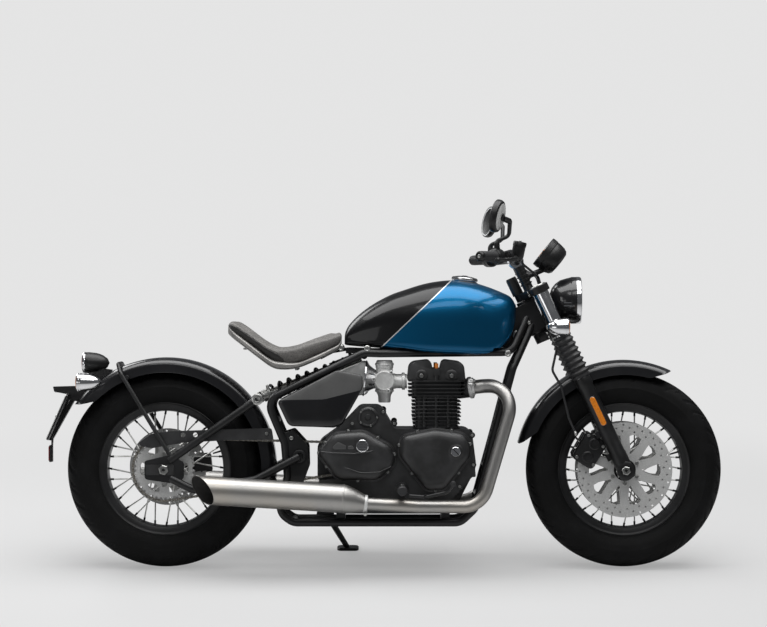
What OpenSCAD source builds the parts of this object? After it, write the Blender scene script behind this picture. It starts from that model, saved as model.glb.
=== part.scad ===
// Bobber motorcycle, parked on its side stand, in millimetres.
// Everything is drawn upright, with X forward from the rear axle, Y to the rider's left and Z up
// from the ground, and then leaned over onto the side stand by parked().

/* [Chassis] */
// Distance between the two axles
wheelbase = 1500; // [1440:10:1560]
// Angle of the steering axis from the vertical
rake = 25.4; // [24:0.2:27]
// Trail of the front wheel
trail = 92; // [84:1:100]
// Lean to the left on the side stand
lean = 10; // [8:0.5:12]
// Diameter of the frame tubes
frame_tube_d = 26; // [22:1:30]
// Distance of each lower frame rail from the centre plane
rail_y = 112; // [104:1:118]
// Height of the lower frame rails
rail_z = 151; // [146:1:165]

/* [Wheels] */
// Outer radius of the front tyre
front_tyre_r = 320; // [316:1:324]
// Outer radius of the rear tyre
rear_tyre_r = 323; // [319:1:327]
// Width of the front tyre
front_tyre_w = 130; // [124:1:134]
// Width of the rear tyre
rear_tyre_w = 150; // [140:1:152]
// Radius of the round crown of both tyres
crown_r = 76; // [76:1:84]
// Radius at which the tyre beads seat on the rims
bead_r = 206; // [204:1:208]
// Number of spokes in each wheel
spoke_count = 32; // [24:4:40]
// Radius of the two front brake discs
front_disc_r = 155; // [145:1:160]
// Radius of the rear brake disc
rear_disc_r = 127; // [115:1:130]
// Outer radius of the hollow axles
axle_r = 10; // [9:0.5:12]
// Bore radius of the hollow axles
axle_bore_r = 6; // [5:0.5:7]

/* [Fork and steering] */
// Distance of each fork leg from the centre plane
fork_y = 105; // [102:1:110]
// Diameter of the bright fork tubes
fork_tube_d = 47; // [43:1:49]
// Outer radius of the lower fork legs
fork_leg_r = 27; // [25.5:0.5:29]
// Length of the fork from the axle to the top yoke's face
fork_length = 664; // [650:1:680]
// Distance from the centre plane to the end of each handlebar grip
grip_end_y = 400; // [380:5:420]
// Diameter of the handlebar tube
bar_d = 25.4; // [22:0.2:28.6]
// Radius of the headlamp
headlamp_r = 77; // [70:1:85]

/* [Body] */
// Half of the fuel tank's greatest width
tank_half_w = 136; // [128:1:142]
// Outer radius of the rear fender
rear_fender_r = 363; // [360:1:368]
// Outer radius of the front fender
front_fender_r = 358; // [355:1:362]
// Half of the seat's greatest width
seat_half_w = 138; // [130:1:145]
// Radius of the silencers
silencer_r = 46; // [42:1:48]
// Radius of the header pipes
header_r = 21; // [19:0.5:22]
// Thickness of the sheet metal parts
sheet_t = 3; // [2.5:0.1:4]

/* [Engine] */
// Half of the crankcase's width
case_half_w = 146; // [140:1:150]
// Half of the cylinder block's width
block_half_w = 140; // [134:1:146]
// Pitch of the cooling fins
fin_pitch = 12; // [12:0.25:13]
// Thickness of each cooling fin
fin_t = 4; // [3:0.25:5]

/* [Hidden] */
$fn = 64;

// Gap between pieces that seat on one another
seat_gap = 0.3;
// Gap between a shaft and the bore it turns in
run_gap = 0.1;

// The crown's centre stays level as the wheels lean, so both tyres stay on the ground.
lean_lift = crown_r * (1 - cos(lean));
plate_rear_x = -388;
footrest_end_y = 300;
footrest_z = 262;
mirror_out_y = 392;
mirror_z = 1140;
origin_x = (wheelbase + front_tyre_r + plate_rear_x) / 2;
origin_y = (mirror_out_y * cos(lean) + mirror_z * sin(lean)
    - footrest_end_y * cos(lean) + footrest_z * sin(lean)) / 2;

// Steering axis: its foot lies square behind the front axle.
fork_u = [-sin(rake), 0, cos(rake)];
fork_n = [cos(rake), 0, sin(rake)];
axle_offset = front_tyre_r * sin(rake) - trail * cos(rake);
steer_foot = [wheelbase, 0, front_tyre_r] - axle_offset * fork_n;
function on_fork(t, o = 0, y = 0) = steer_foot + t * fork_u + o * fork_n + [0, y, 0];

module parked() {
    translate([-origin_x, -origin_y, lean_lift]) rotate([-lean, 0, 0]) children();
}
module at_rear() translate([0, 0, rear_tyre_r]) children();
module at_front() translate([wheelbase, 0, front_tyre_r]) children();
module along_fork(t, o = 0, y = 0) translate(on_fork(t, o, y)) rotate([0, -rake, 0]) children();
module both_sides() {
    children();
    mirror([0, 1, 0]) children();
}
// A shape drawn as (X, Z) seen from the right, given thickness from y to y + t.
module side_plate(y, t) translate([0, y + t, 0]) rotate([90, 0, 0]) linear_extrude(t) children();
// A cylinder along Y from y0 to y1.
module cross_rod(x, z, y0, y1, r, r2 = -1)
    translate([x, y0, z]) rotate([-90, 0, 0]) cylinder(h = y1 - y0, r1 = r, r2 = r2 < 0 ? r : r2);
// A rod between two points.
module rod(a, b, r, r2 = -1) {
    d = b - a;
    translate(a) rotate([0, acos(d[2] / norm(d)), atan2(d[1], d[0])])
        cylinder(h = norm(d), r1 = r, r2 = r2 < 0 ? r : r2);
}

function unit(v) = v / norm(v);
// The points of an arc of radius r that rounds the corner at b.
function corner(a, b, c, r, n) =
    let (u = unit(a - b), v = unit(c - b), half = acos(max(-1, min(1, u * v))) / 2)
    r <= 0 || half > 89 ? [b] :
    let (reach = r / tan(half), centre = b + unit(u + v) * r / sin(half),
        x = unit(b + u * reach - centre), to = b + v * reach - centre,
        y = unit(to - x * (to * x)), sweep = 180 - 2 * half)
    [for (i = [0:n]) centre + r * (x * cos(sweep * i / n) + y * sin(sweep * i / n))];
// An open route with every inner corner rounded.
function rounded_path(p, r, n = 5) = [p[0],
    each [for (i = [1:len(p) - 2]) each corner(p[i - 1], p[i], p[i + 1], r, n)], p[len(p) - 1]];
// A closed outline with every corner rounded by its own radius, from rows of [x, z, radius].
function outline(rows, n = 5) = let (m = len(rows), p = [for (q = rows) [q[0], q[1]]])
    [for (i = [0:m - 1]) each corner(p[(i + m - 1) % m], p[i], p[(i + 1) % m], rows[i][2], n)];
function tangent(p, i) = unit(i == 0 ? p[1] - p[0] : i == len(p) - 1 ? p[i] - p[i - 1]
    : unit(p[i + 1] - p[i]) + unit(p[i] - p[i - 1]));
function first_normal(t) = unit(cross(t, abs(t[2]) > 0.9 ? [0, 1, 0] : [0, 0, 1]));
function carried_normals(p) = [for (i = 0, n = first_normal(tangent(p, 0)); i < len(p);
    i = i + 1, n = i < len(p) ? unit(n - tangent(p, i) * (n * tangent(p, i))) : n) n];
// Joins rings of equal count into one closed skin.
module skin(rings) {
    m = len(rings[0]);
    last = (len(rings) - 1) * m;
    polyhedron(points = [for (r = rings) each r], convexity = 6, faces = concat(
        [for (k = [1:m - 2]) [0, k, k + 1]],
        [for (k = [1:m - 2]) [last, last + k + 1, last + k]],
        [for (i = [0:len(rings) - 2], k = [0:m - 1]) each
            let (a = i * m + k, b = i * m + (k + 1) % m)
            [[a, a + m, b], [b, a + m, b + m]]]));
}
// A round tube swept along points. radii is one radius, or one for each point.
module tube(p, radii, sides = 12) {
    ns = carried_normals(p);
    skin([for (i = [0:len(p) - 1]) let (t = tangent(p, i), n = ns[i], b = cross(t, n),
        r = is_list(radii) ? radii[i] : radii)
        [for (k = [0:sides - 1]) p[i] + r * (n * cos(360 * k / sides) + b * sin(360 * k / sides))]]);
}
// The (r, y) outline of one half of a tyre's section, from the crown's centre to the bead.
crown_end = 50;
function tyre_half(r, w, rim_w) = let (c = r - crown_r,
    e = [c + crown_r * cos(crown_end), crown_r * sin(crown_end)],
    q = [bead_r + 46, w / 2 + 13], f = [bead_r + 11, rim_w / 2 + 6])
    concat([for (a = [0:10:crown_end]) [c + crown_r * cos(a), crown_r * sin(a)]],
        [for (s = [0.2:0.2:1]) (1 - s) * (1 - s) * e + 2 * s * (1 - s) * q + s * s * f],
        [[bead_r + 10, rim_w / 2], [bead_r, rim_w / 2]]);
module spun(points) rotate([90, 0, 0]) rotate_extrude() polygon(points);
function mirrored(half) = concat(half,
    [for (i = [len(half) - 1:-1:0]) if (half[i][1] != 0) [half[i][0], -half[i][1]]]);

front_rim_w = 76;
rear_rim_w = 100;
module tyre(r, w, rim_w) spun(mirrored(tyre_half(r, w, rim_w)));
// A rim with flanges, and spokes to the flanges of the hub that is turned with it.
rim_inner_r = bead_r - 17;
flange_top_r = bead_r + 9;
module rim(rim_w, hub_flange_r, hub_flange_y) {
    half = [[bead_r - seat_gap, 0], [bead_r - seat_gap, rim_w / 2 + seat_gap],
        [flange_top_r, rim_w / 2 + seat_gap], [flange_top_r, rim_w / 2 + 6],
        [rim_inner_r + 8, rim_w / 2 + 6], [rim_inner_r, rim_w / 2 - 10], [rim_inner_r, 0]];
    spun(mirrored(half));
    for (i = [0:spoke_count - 1]) {
        a = 360 * i / spoke_count;
        side = i % 2 == 0 ? 1 : -1;
        lead = (floor(i / 2) % 2 == 0 ? 1 : -1) * 28;
        rod([(hub_flange_r - 5) * cos(a + lead), side * hub_flange_y,
                (hub_flange_r - 5) * sin(a + lead)],
            [(rim_inner_r + 3) * cos(a), side * 6, (rim_inner_r + 3) * sin(a)], 2.2);
    }
}
// A hub turned on the axle, from rows of (radius, y), with flanges for the spokes.
module hub(flange_r, flange_y, half_len, boss_r) {
    half = [[axle_r + run_gap, 0], [axle_r + run_gap, half_len], [boss_r, half_len],
        [boss_r, flange_y + 4], [flange_r, flange_y + 4], [flange_r, flange_y - 4],
        [boss_r - 6, flange_y - 10], [boss_r - 6, 0]];
    spun(mirrored([for (i = [len(half) - 1:-1:0]) half[i]]));
}
// A brake disc with curved windows between its carrier and its braking ring.
module disc(r, y, t, inner_r, windows) {
    side_plate(y - t / 2, t) difference() {
        circle(r);
        circle(inner_r);
        for (i = [0:windows - 1]) rotate(360 * i / windows) {
            translate([r * 0.56, 0]) polygon(outline([[-r * 0.12, -r * 0.10, r * 0.03],
                [r * 0.02, -r * 0.14, r * 0.04], [r * 0.10, r * 0.12, r * 0.015]], 4));
        }
    }
}

front_hub_flange_r = 44;
front_hub_flange_y = 34;
disc_y = 69;
front_boss_r = 34;
module front_tyre() color("#161616") parked() at_front() tyre(front_tyre_r, front_tyre_w, front_rim_w);
module front_rim() color("#222222") parked() at_front() {
    rim(front_rim_w, front_hub_flange_r, front_hub_flange_y);
    hub(front_hub_flange_r, front_hub_flange_y, disc_y + 2.5, front_boss_r);
}
module front_discs() color("#b4b4b0") parked() at_front() both_sides()
    disc(front_disc_r, disc_y, 5, front_boss_r + seat_gap, 10);
module rear_tyre() color("#161616") parked() at_rear() tyre(rear_tyre_r, rear_tyre_w, rear_rim_w);
rear_hub_flange_r = 42;
rear_hub_flange_y = 40;
rear_boss_r = 36;
sprocket_y = -94;
rear_disc_y = 92;
sprocket_r = 92;
module rear_rim() color("#222222") parked() at_rear() {
    rim(rear_rim_w, rear_hub_flange_r, rear_hub_flange_y);
    hub(rear_hub_flange_r, rear_hub_flange_y, -sprocket_y + 5, rear_boss_r);
}
module rear_disc() color("#a8a8a4") parked() at_rear()
    disc(rear_disc_r, rear_disc_y, 6, rear_boss_r + seat_gap, 8);
teeth = 37;
module rear_sprocket() color("#a8a8a4") parked() at_rear()
    side_plate(sprocket_y - 3, 6) difference() {
        polygon([for (i = [0:teeth * 2 - 1]) let (r = sprocket_r + (i % 2 == 0 ? 5 : -2))
            r * [cos(180 * i / teeth), sin(180 * i / teeth)]]);
        circle(rear_boss_r + seat_gap);
        for (i = [0:5]) rotate(60 * i + 20) polygon(outline([[66, -16, 4], [74, -14, 4],
            [74, 14, 4], [66, 16, 4]], 3));
    }

// Axles: hollow, with a head and a nut outside the pieces that they carry.
module spindle(y_out, head_r, head_t) difference() {
    union() {
        cross_rod(0, 0, -y_out, y_out, axle_r);
        both_sides() cross_rod(0, 0, y_out, y_out + head_t, head_r);
    }
    cross_rod(0, 0, -y_out - head_t - 1, y_out + head_t + 1, axle_bore_r);
}
front_axle_out = fork_y + fork_leg_r;
dropout_y = 122;
dropout_t = 12;
rear_axle_out = dropout_y + dropout_t + seat_gap;
module front_axle() color("#8c8c8c") parked() at_front() spindle(front_axle_out + seat_gap, 15, 6);
module rear_axle() color("#9a9a9a") parked() at_rear() spindle(rear_axle_out, 17, 10);

// Fork, drawn along the steering axis.
slider_top_t = 334;
gaiter_top_t = 486;
lower_yoke_t = 490;
yoke_h = 30;
top_yoke_t = fork_length - 24;
head_tube_r = 31;
stem_r = 17;
module fork_tubes() color("#d8d8d8") parked() both_sides()
    along_fork(slider_top_t - 120 + seat_gap, axle_offset, fork_y)
        cylinder(h = fork_length - 4 - slider_top_t + 120, r = fork_tube_d / 2);
module fork_legs() color("#1d1d1d") parked() both_sides() difference() {
    union() {
        along_fork(0, axle_offset, fork_y) cylinder(h = slider_top_t, r = fork_leg_r);
        translate([wheelbase, 0, front_tyre_r])
            cross_rod(0, 0, fork_y - fork_leg_r, fork_y + fork_leg_r, 30);
        // side reflector
        along_fork(164, axle_offset, fork_y + fork_leg_r - 3) translate([-10, 0, 0])
            rotate([-90, 0, 0]) linear_extrude(7) polygon(outline([[0, -100, 10], [20, -100, 10],
                [20, 0, 10], [0, 0, 10]], 5));
    }
    along_fork(slider_top_t - 120, axle_offset, fork_y)
        cylinder(h = 200, r = fork_tube_d / 2 + run_gap);
    translate([wheelbase, 0, front_tyre_r])
        cross_rod(0, 0, fork_y - 60, fork_y + 60, axle_r + run_gap);
}
bellows = 7;
module fork_gaiters() color("#202020") parked() both_sides()
    along_fork(slider_top_t + seat_gap, axle_offset, fork_y) {
        h = gaiter_top_t - slider_top_t - seat_gap;
        inner = fork_tube_d / 2 + run_gap;
        rotate_extrude() polygon(concat([[inner, 0]],
            [for (i = [0:bellows * 2]) [i % 2 == 0 ? inner + 4 : inner + 10.6 - i * 0.2,
                h * i / bellows / 2]], [[inner, h]]));
    }
// A plate across the fork, with bores for the tubes.
module yoke(t, h, leg_wall) {
    along_fork(t) difference() {
        linear_extrude(h) {
            circle(stem_r + 8);
            polygon([[-12, -22], [axle_offset - 22, -fork_y], [axle_offset + 24, -fork_y + 10],
                [32, 0], [axle_offset + 24, fork_y - 10], [axle_offset - 22, fork_y], [-12, 22]]);
            for (s = [-1, 1]) translate([axle_offset, s * fork_y]) circle(fork_tube_d / 2 + leg_wall);
        }
        for (s = [-1, 1]) translate([axle_offset, s * fork_y, -1])
            cylinder(h = h + 2, r = fork_tube_d / 2 + run_gap);
    }
}
riser_offset = 27;
bar_t = 766;
module fork_yokes() color("#1c1c1c") parked() {
    yoke(lower_yoke_t, yoke_h, 8);
    yoke(top_yoke_t, 24, 8);
    along_fork(lower_yoke_t + yoke_h - 1)
        cylinder(h = top_yoke_t - lower_yoke_t - yoke_h + 2, r = stem_r);
    // steering lock on the top yoke
    along_fork(fork_length - 1, -12) cylinder(h = 60, r = 18);
    both_sides() along_fork(fork_length - 1, riser_offset, 36)
        cylinder(h = bar_t - fork_length - bar_d / 2 - 2, r = 15);
    both_sides() translate(on_fork(bar_t, riser_offset, 36)) rotate([90, 0, 0])
        difference() {
            cylinder(h = 28, r = bar_d / 2 + 11, center = true);
            cylinder(h = 30, r = bar_d / 2 + run_gap, center = true);
        }
}

// Handlebar: the clamp's straight, then out and back to the grips.
bar_mid = on_fork(bar_t, riser_offset);
bar_route = [bar_mid, bar_mid + [0, 70, 0], bar_mid + [-22, 190, 24],
    [1086, grip_end_y - 115, 1012], [1021, grip_end_y - 8, 1011]];
bar_half = rounded_path(bar_route, 60, 4);
module handlebar() color("#1a1a1a") parked()
    tube(concat([for (i = [len(bar_half) - 1:-1:1]) [bar_half[i][0], -bar_half[i][1],
        bar_half[i][2]]], bar_half), bar_d / 2, 16);
grip_in = bar_route[3];
grip_out = bar_route[4];
grip_dir = unit(grip_out - grip_in);
module sleeve(a, b, r_in, r_out) {
    d = b - a;
    translate(a) rotate([0, acos(d[2] / norm(d)), atan2(d[1], d[0])]) difference() {
        cylinder(h = norm(d), r = r_out);
        translate([0, 0, -1]) cylinder(h = norm(d) + 2, r = r_in);
    }
}
module hand_grips() both_sides() {
    sleeve(grip_in + grip_dir * 44, grip_out - grip_dir * 2, bar_d / 2 + seat_gap, 17);
    rod(grip_out + grip_dir * seat_gap, grip_out + grip_dir * 12, 16, 13);
}
// Switchgear, lever perches, levers and the brake fluid reservoir.
perch = bar_mid + (grip_in - bar_mid) * 0.86 + [4, 0, 7];
lever_route = [grip_in + [48, -34, -4], grip_in + [50, 20, -8], grip_in + [8, 84, -12],
    grip_in + [-14, 132, -14]];
perch_dir = unit([29.4, -52.8, -7.8]);
perch_len = 26;
switch_a = grip_in + grip_dir * 43;
switch_b = grip_in + grip_dir * 8;
module hand_controls() color("#202020") parked() {
    hand_grips();
    both_sides() {
        sleeve(switch_b, switch_a, bar_d / 2 + seat_gap, 25);
        rod(switch_b + grip_dir * 14 + [30, 0, 4], lever_route[0] + (perch_len - seat_gap) * perch_dir, 10);
        tube(rounded_path(lever_route, 40, 4), [for (i = [0:len(rounded_path(lever_route, 40, 4)) - 1])
            i < 4 ? 9 : 6.5], 8);
    }
    reservoir = [lever_route[0][0] + 4, -lever_route[0][1], lever_route[0][2]];
    translate([reservoir[0] + 2, reservoir[1], reservoir[2] - 2]) rotate([0, 12, 0])
        cylinder(h = 56, r = 21);
}
// Mirrors: a stalk from each perch and a round head.
mirror_c = [1072, mirror_out_y - 54, mirror_z];
mirror_r = 53;
mirror_tilt = 12;
mirror_toe = 19;
stalk_foot = switch_b + grip_dir * 14 + [0, 0, 25.3];
stalk_route = [stalk_foot, stalk_foot + [0, 0, 24], grip_in + [28, -4, 66], grip_in + [30, 20, 112],
    mirror_c + [20, 0, -8]];
module mirrors() color("#1c1c1c") parked() both_sides() {
    translate(mirror_c) rotate([0, 0, mirror_toe]) rotate([0, mirror_tilt, 0]) rotate([0, 90, 0]) {
        translate([0, 0, -6]) cylinder(h = 10, r = mirror_r);
        translate([0, 0, 4]) cylinder(h = 14, r1 = mirror_r, r2 = 30);
    }
    tube(rounded_path(stalk_route, 14, 4), 6, 8);
}

// Headlamp, its arms and the instrument.
lamp_z = 873;
lamp_face_x = 1358;
lamp_bar_t = 600;
module headlamp() color("#181818") parked() {
    translate([lamp_face_x, 0, lamp_z]) rotate([0, -90, 0]) rotate_extrude() polygon([[0, -6],
        [headlamp_r * 0.55, -4], [headlamp_r - 4, 3], [headlamp_r, 6], [headlamp_r, 28],
        [headlamp_r - 2, 34], [headlamp_r * 0.86, 66], [headlamp_r * 0.55, 92], [0, 102]]);
    // stand on the lower yoke
    both_sides() {
        rod(on_fork(lower_yoke_t + yoke_h + seat_gap, 58, 68), on_fork(lamp_bar_t + 9, 58, 68), 7);
        rod(on_fork(lamp_bar_t, 57, 30), [lamp_face_x - 60, 24, lamp_z - 5], 9);
    }
    lamp_bar = on_fork(lamp_bar_t, 58);
    cross_rod(lamp_bar[0], lamp_bar[2], -78, 78, 5.5);
}
clock_face = [1236, 0, 1036];
clock_tilt = 51;
clock_r = 54;
module instrument() color("#1a1a1a") parked() {
    translate(clock_face) rotate([0, 180 - clock_tilt, 0]) rotate_extrude() polygon([[0, 4],
        [clock_r - 6, 2], [clock_r, -2], [clock_r, 22], [clock_r - 3, 50], [clock_r - 14, 66],
        [0, 70]]);
    tube(rounded_path([clock_face + [40, 0, -46], on_fork(fork_length + 42, 36),
        on_fork(fork_length + seat_gap, 30)], 20, 4), 9, 12);
}
front_lamp_c = [1290, 172, 786];
rear_lamp_c = [-282, 132, 607];
// A bullet-shaped indicator, its lens at the origin facing +X.
module bullet(r, l) rotate([0, -90, 0]) rotate_extrude() polygon([[0, -4], [r * 0.7, -2],
    [r - 2, 2], [r, 4], [r, l * 0.24], [r * 0.93, l * 0.5], [r * 0.68, l * 0.78],
    [r * 0.4, l * 0.93], [0, l]]);
module front_indicators() color("#b8b8b8") parked() both_sides() {
    translate(front_lamp_c + [22, 0, 0]) bullet(29, 70);
    lamp_stem = on_fork(lower_yoke_t + yoke_h / 2, axle_offset);
    stem_in = fork_y + fork_tube_d / 2 + 8 + seat_gap;
    cross_rod(lamp_stem[0], lamp_stem[2], stem_in, front_lamp_c[1] - 12, 7);
}

// Fenders: a crowned channel over the tyre, cut to points at the ends.
function channel(r, half_w, depth, t) = let (n = 6,
    out = [for (i = [0:n]) [r - 24 + 24 * cos(90 * i / n), half_w - 46 + 46 * sin(90 * i / n)]],
    in = [for (i = [n:-1:0]) [r - 24 + (24 - t) * cos(90 * i / n),
        half_w - 46 + (46 - t) * sin(90 * i / n)]])
    concat(out, [[r - depth, half_w], [r - depth, half_w - t]], in);
function channel_full(r, half_w, depth, t) = let (h = channel(r, half_w, depth, t), m = len(h) / 2,
    out = [for (i = [0:m - 1]) h[i]], in = [for (i = [m:2 * m - 1]) h[i]])
    concat([for (i = [m - 1:-1:0]) [out[i][0], -out[i][1]]], out,
        in, [for (i = [m - 1:-1:0]) [in[i][0], -in[i][1]]]);
// An arc of the channel from angle a0 to a1, measured from +X over the top.
module fender_arc(r, half_w, depth, a0, a1) rotate([90, 0, 0]) rotate([0, 0, a0])
    rotate_extrude(angle = a1 - a0) polygon(channel_full(r, half_w, depth, sheet_t));
front_fender_half = 68;
rear_fender_half = 86;
fender_depth = 46;
module front_fender() color("#1b1c1e") parked() {
    at_front() difference() {
        fender_arc(front_fender_r, front_fender_half, fender_depth, 65, 166);
        // the pointed front tip and tail
        rotate([0, -65, 0]) translate([0, 0, 0]) side_plate(-150, 300)
            polygon([[280, -4], [380, -4], [350, 0], [310, 62], [280, 62]]);
        rotate([0, -166, 0]) side_plate(-150, 300)
            polygon([[280, 4], [380, 4], [350, 0], [310, -60], [280, -60]]);
    }
    // brackets to the fork legs
    both_sides() at_front() rotate([0, -rake, 0]) translate([-16, front_fender_half - 2, 296])
        cube([32, fork_y - fork_leg_r - seat_gap - front_fender_half + 2, 34]);
}
module rear_fender() color("#1b1c1e") parked() at_rear() difference() {
    fender_arc(rear_fender_r, rear_fender_half, fender_depth, -8, 144);
    rotate([0, -144, 0]) side_plate(-150, 300)
        polygon([[280, 4], [380, 4], [352, 0], [312, -56], [280, -56]]);
}
// Hoop over the rear fender and down to the dropouts.
hoop_top = [-152, 0, 665];
hoop_r = 7;
hoop_foot = [22, dropout_y + 6, rear_tyre_r + 44];
module fender_hoop() {
    half = [[hoop_top[0], 0, hoop_top[2]], [hoop_top[0], 70, hoop_top[2]],
        [hoop_top[0] + 10, rear_fender_half + 18, hoop_top[2] - 30], hoop_foot];
    route = rounded_path(concat([for (i = [3:-1:1]) [half[i][0], -half[i][1], half[i][2]]],
        [for (i = [1:3]) half[i]]), 20, 5);
    tube(route, hoop_r, 10);
}

// Points along the outside of the rear fender from angle a0 to a1.
function on_fender(a0, a1) = let (r = rear_fender_r + 2 * seat_gap + 0.1)
    [for (i = [0:3]) let (a = a0 + (a1 - a0) * i / 3) [r * cos(a), rear_tyre_r + r * sin(a)]];
// Tail lamp and rear indicators on one bracket, and the blank plate's holder.
tail_c = [-274, 0, 668];
module rear_lamps() color("#1e1e1e") parked() {
    translate(tail_c) rotate([0, 0, 180]) bullet(35, 88);
    side_plate(-16, 32) polygon(concat([[-262, 650], [-205, 650], [-176, 645]],
        on_fender(120, 131)));
    both_sides() {
        translate(rear_lamp_c) rotate([0, 0, 180]) bullet(29, 80);
        rod(rear_lamp_c + [34, -20, 0], [-238, 10, 626], 7);
    }
}
plate_half_w = 90;
plate_top = [-318, 0, 566];
plate_len = 160;
plate_tilt = 24;
plate_t = 4;
plate_hole_y = 60;
module plate_holder() color("#1e1e1e") parked() {
    difference() {
        union() {
            translate(plate_top) rotate([0, plate_tilt, 0]) translate([-plate_t, -plate_half_w, -plate_len])
                cube([plate_t, 2 * plate_half_w, plate_len]);
            // reflector below the plate
            side_plate(-9, 18) polygon([[-349, 500], [-376, 440], [-377, 400], [-377, 344],
                [-372, 344], [-372, 400], [-369, 440], [-343, 500]]);
            side_plate(-23, 46) polygon([[-385, 343], [-376, 343], [-376, 398], [-385, 398]]);
            side_plate(-24, 48) polygon(concat([[-318, 548], [-326, 566], [-366, 574], [-370, 590],
                [-300, 592]], on_fender(133, 143)));
        }
        translate(plate_top) rotate([0, plate_tilt, 0]) both_sides()
            translate([-plate_t - 1, plate_hole_y, -plate_len / 2]) rotate([0, 90, 0])
                cylinder(h = plate_t + 2, r = 3);
    }
}

// Brake calipers behind the fork legs, each gripping its disc.
caliper_a = 152;
module brake_calipers() color("#17181a") parked() both_sides() difference() {
    at_front() rotate([0, -caliper_a, 0]) side_plate(disc_y - 18, 44)
        polygon(outline([[90, -50, 14], [168, -56, 16], [172, 46, 16], [96, 52, 14]], 4));
    at_front() side_plate(disc_y - 7.5, 15) circle(front_disc_r + 6);
    along_fork(-20, axle_offset, fork_y) cylinder(h = slider_top_t, r = fork_leg_r + seat_gap);
}

// Hoses that turn with the fork.
hose_r = 4;
lower_hose = [on_fork(lower_yoke_t - seat_gap, 30, -62), on_fork(lower_yoke_t - 30, 30, -62),
    [1262, -86, 645], [1292, -88, 592], [1316, -95, 490], [1341, -100, 432]];
upper_hose = [lever_route[0] + perch_len * perch_dir, lever_route[0] + (perch_len + 20) * perch_dir,
    grip_in + [78, -104, -24], on_fork(690, 70, 56), on_fork(640, 62, 44), on_fork(590, 40, 58),
    on_fork(lower_yoke_t + yoke_h + 0.5, 26, 50)];
function flip_y(p) = [for (q = p) [q[0], -q[1], q[2]]];
module brake_hose() color("#141414") parked() {
    tube(rounded_path(lower_hose, 25, 4), hose_r, 8);
    tube(rounded_path(upper_hose, 18, 4), hose_r, 8);
    tube(rounded_path(flip_y(upper_hose), 18, 4), hose_r, 8);
}

// Frame: one loop of tube on each side, round from the headstock and back to it.
junction = [334, 118, 548];
upright_low = [402, rail_y + 2, 300];
frame_loop = [on_fork(588, -14, 18), [1128, 78, 704], [700, 98, 700], [650, 106, 702], junction,
    [392, rail_y + 2, 410], upright_low, [372, rail_y, 184], [420, rail_y, rail_z],
    [962, rail_y, rail_z], [1010, rail_y, 196], [1134, 84, 652], on_fork(556, -14, 21)];
shock_top = [650, 0, 692.2];
pivot = [440, 0, 366];
mount_top_z = 181.7;
stand_pivot = [520, rail_y + frame_tube_d / 2 + 19, 176];
stand_pin_r = 8;
module frame_side() {
    tube(rounded_path(frame_loop, 45, 3), frame_tube_d / 2, 10);
    side_plate(rail_y - 6, 12) polygon(outline([[384, 440, 10], [420, 452, 10], [468, 400, 30],
        [470, 330, 30], [440, 250, 20], [396, 250, 10], [396, 340, 20]], 3));
    // gusset over the headstock
    corners = [on_fork(530, 26), on_fork(630, 26), on_fork(630, -20)];
    side_plate(24, 8) polygon(concat([[1205, 766]], [for (q = corners) [q[0], q[2]]],
        [[1080, 806], [1052, 772], [1130, 694]]));
}
module frame() color("#1a1a1a") parked() difference() {
    union() {
        both_sides() frame_side();
        along_fork(lower_yoke_t + yoke_h + 1) cylinder(h = top_yoke_t - lower_yoke_t - yoke_h - 2,
            r = head_tube_r);
        tube([on_fork(604, -14), [900, 0, 752], [700, 0, 716]], 22, 12);
        for (q = [[shock_top[0], shock_top[2], 106], [363, 480, 115], [420, rail_z, rail_y],
            [1022, 240, rail_y], [712, 702, 98]]) cross_rod(q[0], q[1], -q[2], q[2], 11);
        cross_rod(pivot[0], pivot[2], -rail_y - 6, rail_y + 6, 14);
        for (x = [560, 900]) translate([x, -rail_y + 4, rail_z - 11])
            cube([28, 2 * rail_y - 8, mount_top_z - rail_z + 11]);
        // lug and headed pin of the side stand
        side_plate(rail_y, stand_pivot[1] - rail_y - 7.5) polygon(outline([[488, 158, 8],
            [552, 158, 8], [540, 198, 20], [500, 198, 20]], 3));
        cross_rod(stand_pivot[0], stand_pivot[2], rail_y, stand_pivot[1] + 9, stand_pin_r);
        cross_rod(stand_pivot[0], stand_pivot[2], stand_pivot[1] + 7.5, stand_pivot[1] + 12, 13);
    }
    along_fork(lower_yoke_t + yoke_h - 5) cylinder(h = top_yoke_t - lower_yoke_t, r = stem_r + 0.5);
}

// Rear swinging arm: a triangulated cage, with the wheel between its dropouts.
arm_top = [304, dropout_y + 6, 552];
arm_low = [[20, dropout_y + 6, 296], [100, dropout_y + 6, 256], [300, dropout_y + 19, 292],
    [pivot[0], dropout_y + 19, pivot[2]]];
module swingarm() color("#1c1c1c") parked() difference() {
    union() {
        both_sides() {
            side_plate(dropout_y, dropout_t) polygon(outline([[-62, 352, 8], [-62, 292, 12],
                [20, 280, 12], [66, 292, 16], [66, 348, 12], [20, 372, 16]], 3));
            tube([[18, dropout_y + 6, 352], arm_top], frame_tube_d / 2, 12);
            tube(rounded_path(arm_low, 60, 4), frame_tube_d / 2, 12);
            side_plate(rail_y + 6 + seat_gap, dropout_y - rail_y + 8 - seat_gap)
                translate([pivot[0], pivot[2]]) circle(22);
        }
        cross_rod(arm_top[0], arm_top[2], -arm_top[1], arm_top[1], 12);
        fender_hoop();
        // seats of the rear fender
        both_sides() cross_rod(-122, 622, rear_fender_half + seat_gap, rear_fender_half + 20, 7);
        rod(arm_top - [0, arm_top[1], 0], [0, 0, rear_tyre_r] + (rear_fender_r + 0.5)
            * unit(arm_top - [0, arm_top[1], rear_tyre_r]), 10);
        rear_caliper();
    }
    cross_rod(0, rear_tyre_r, -200, 200, axle_r + run_gap);
}
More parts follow.
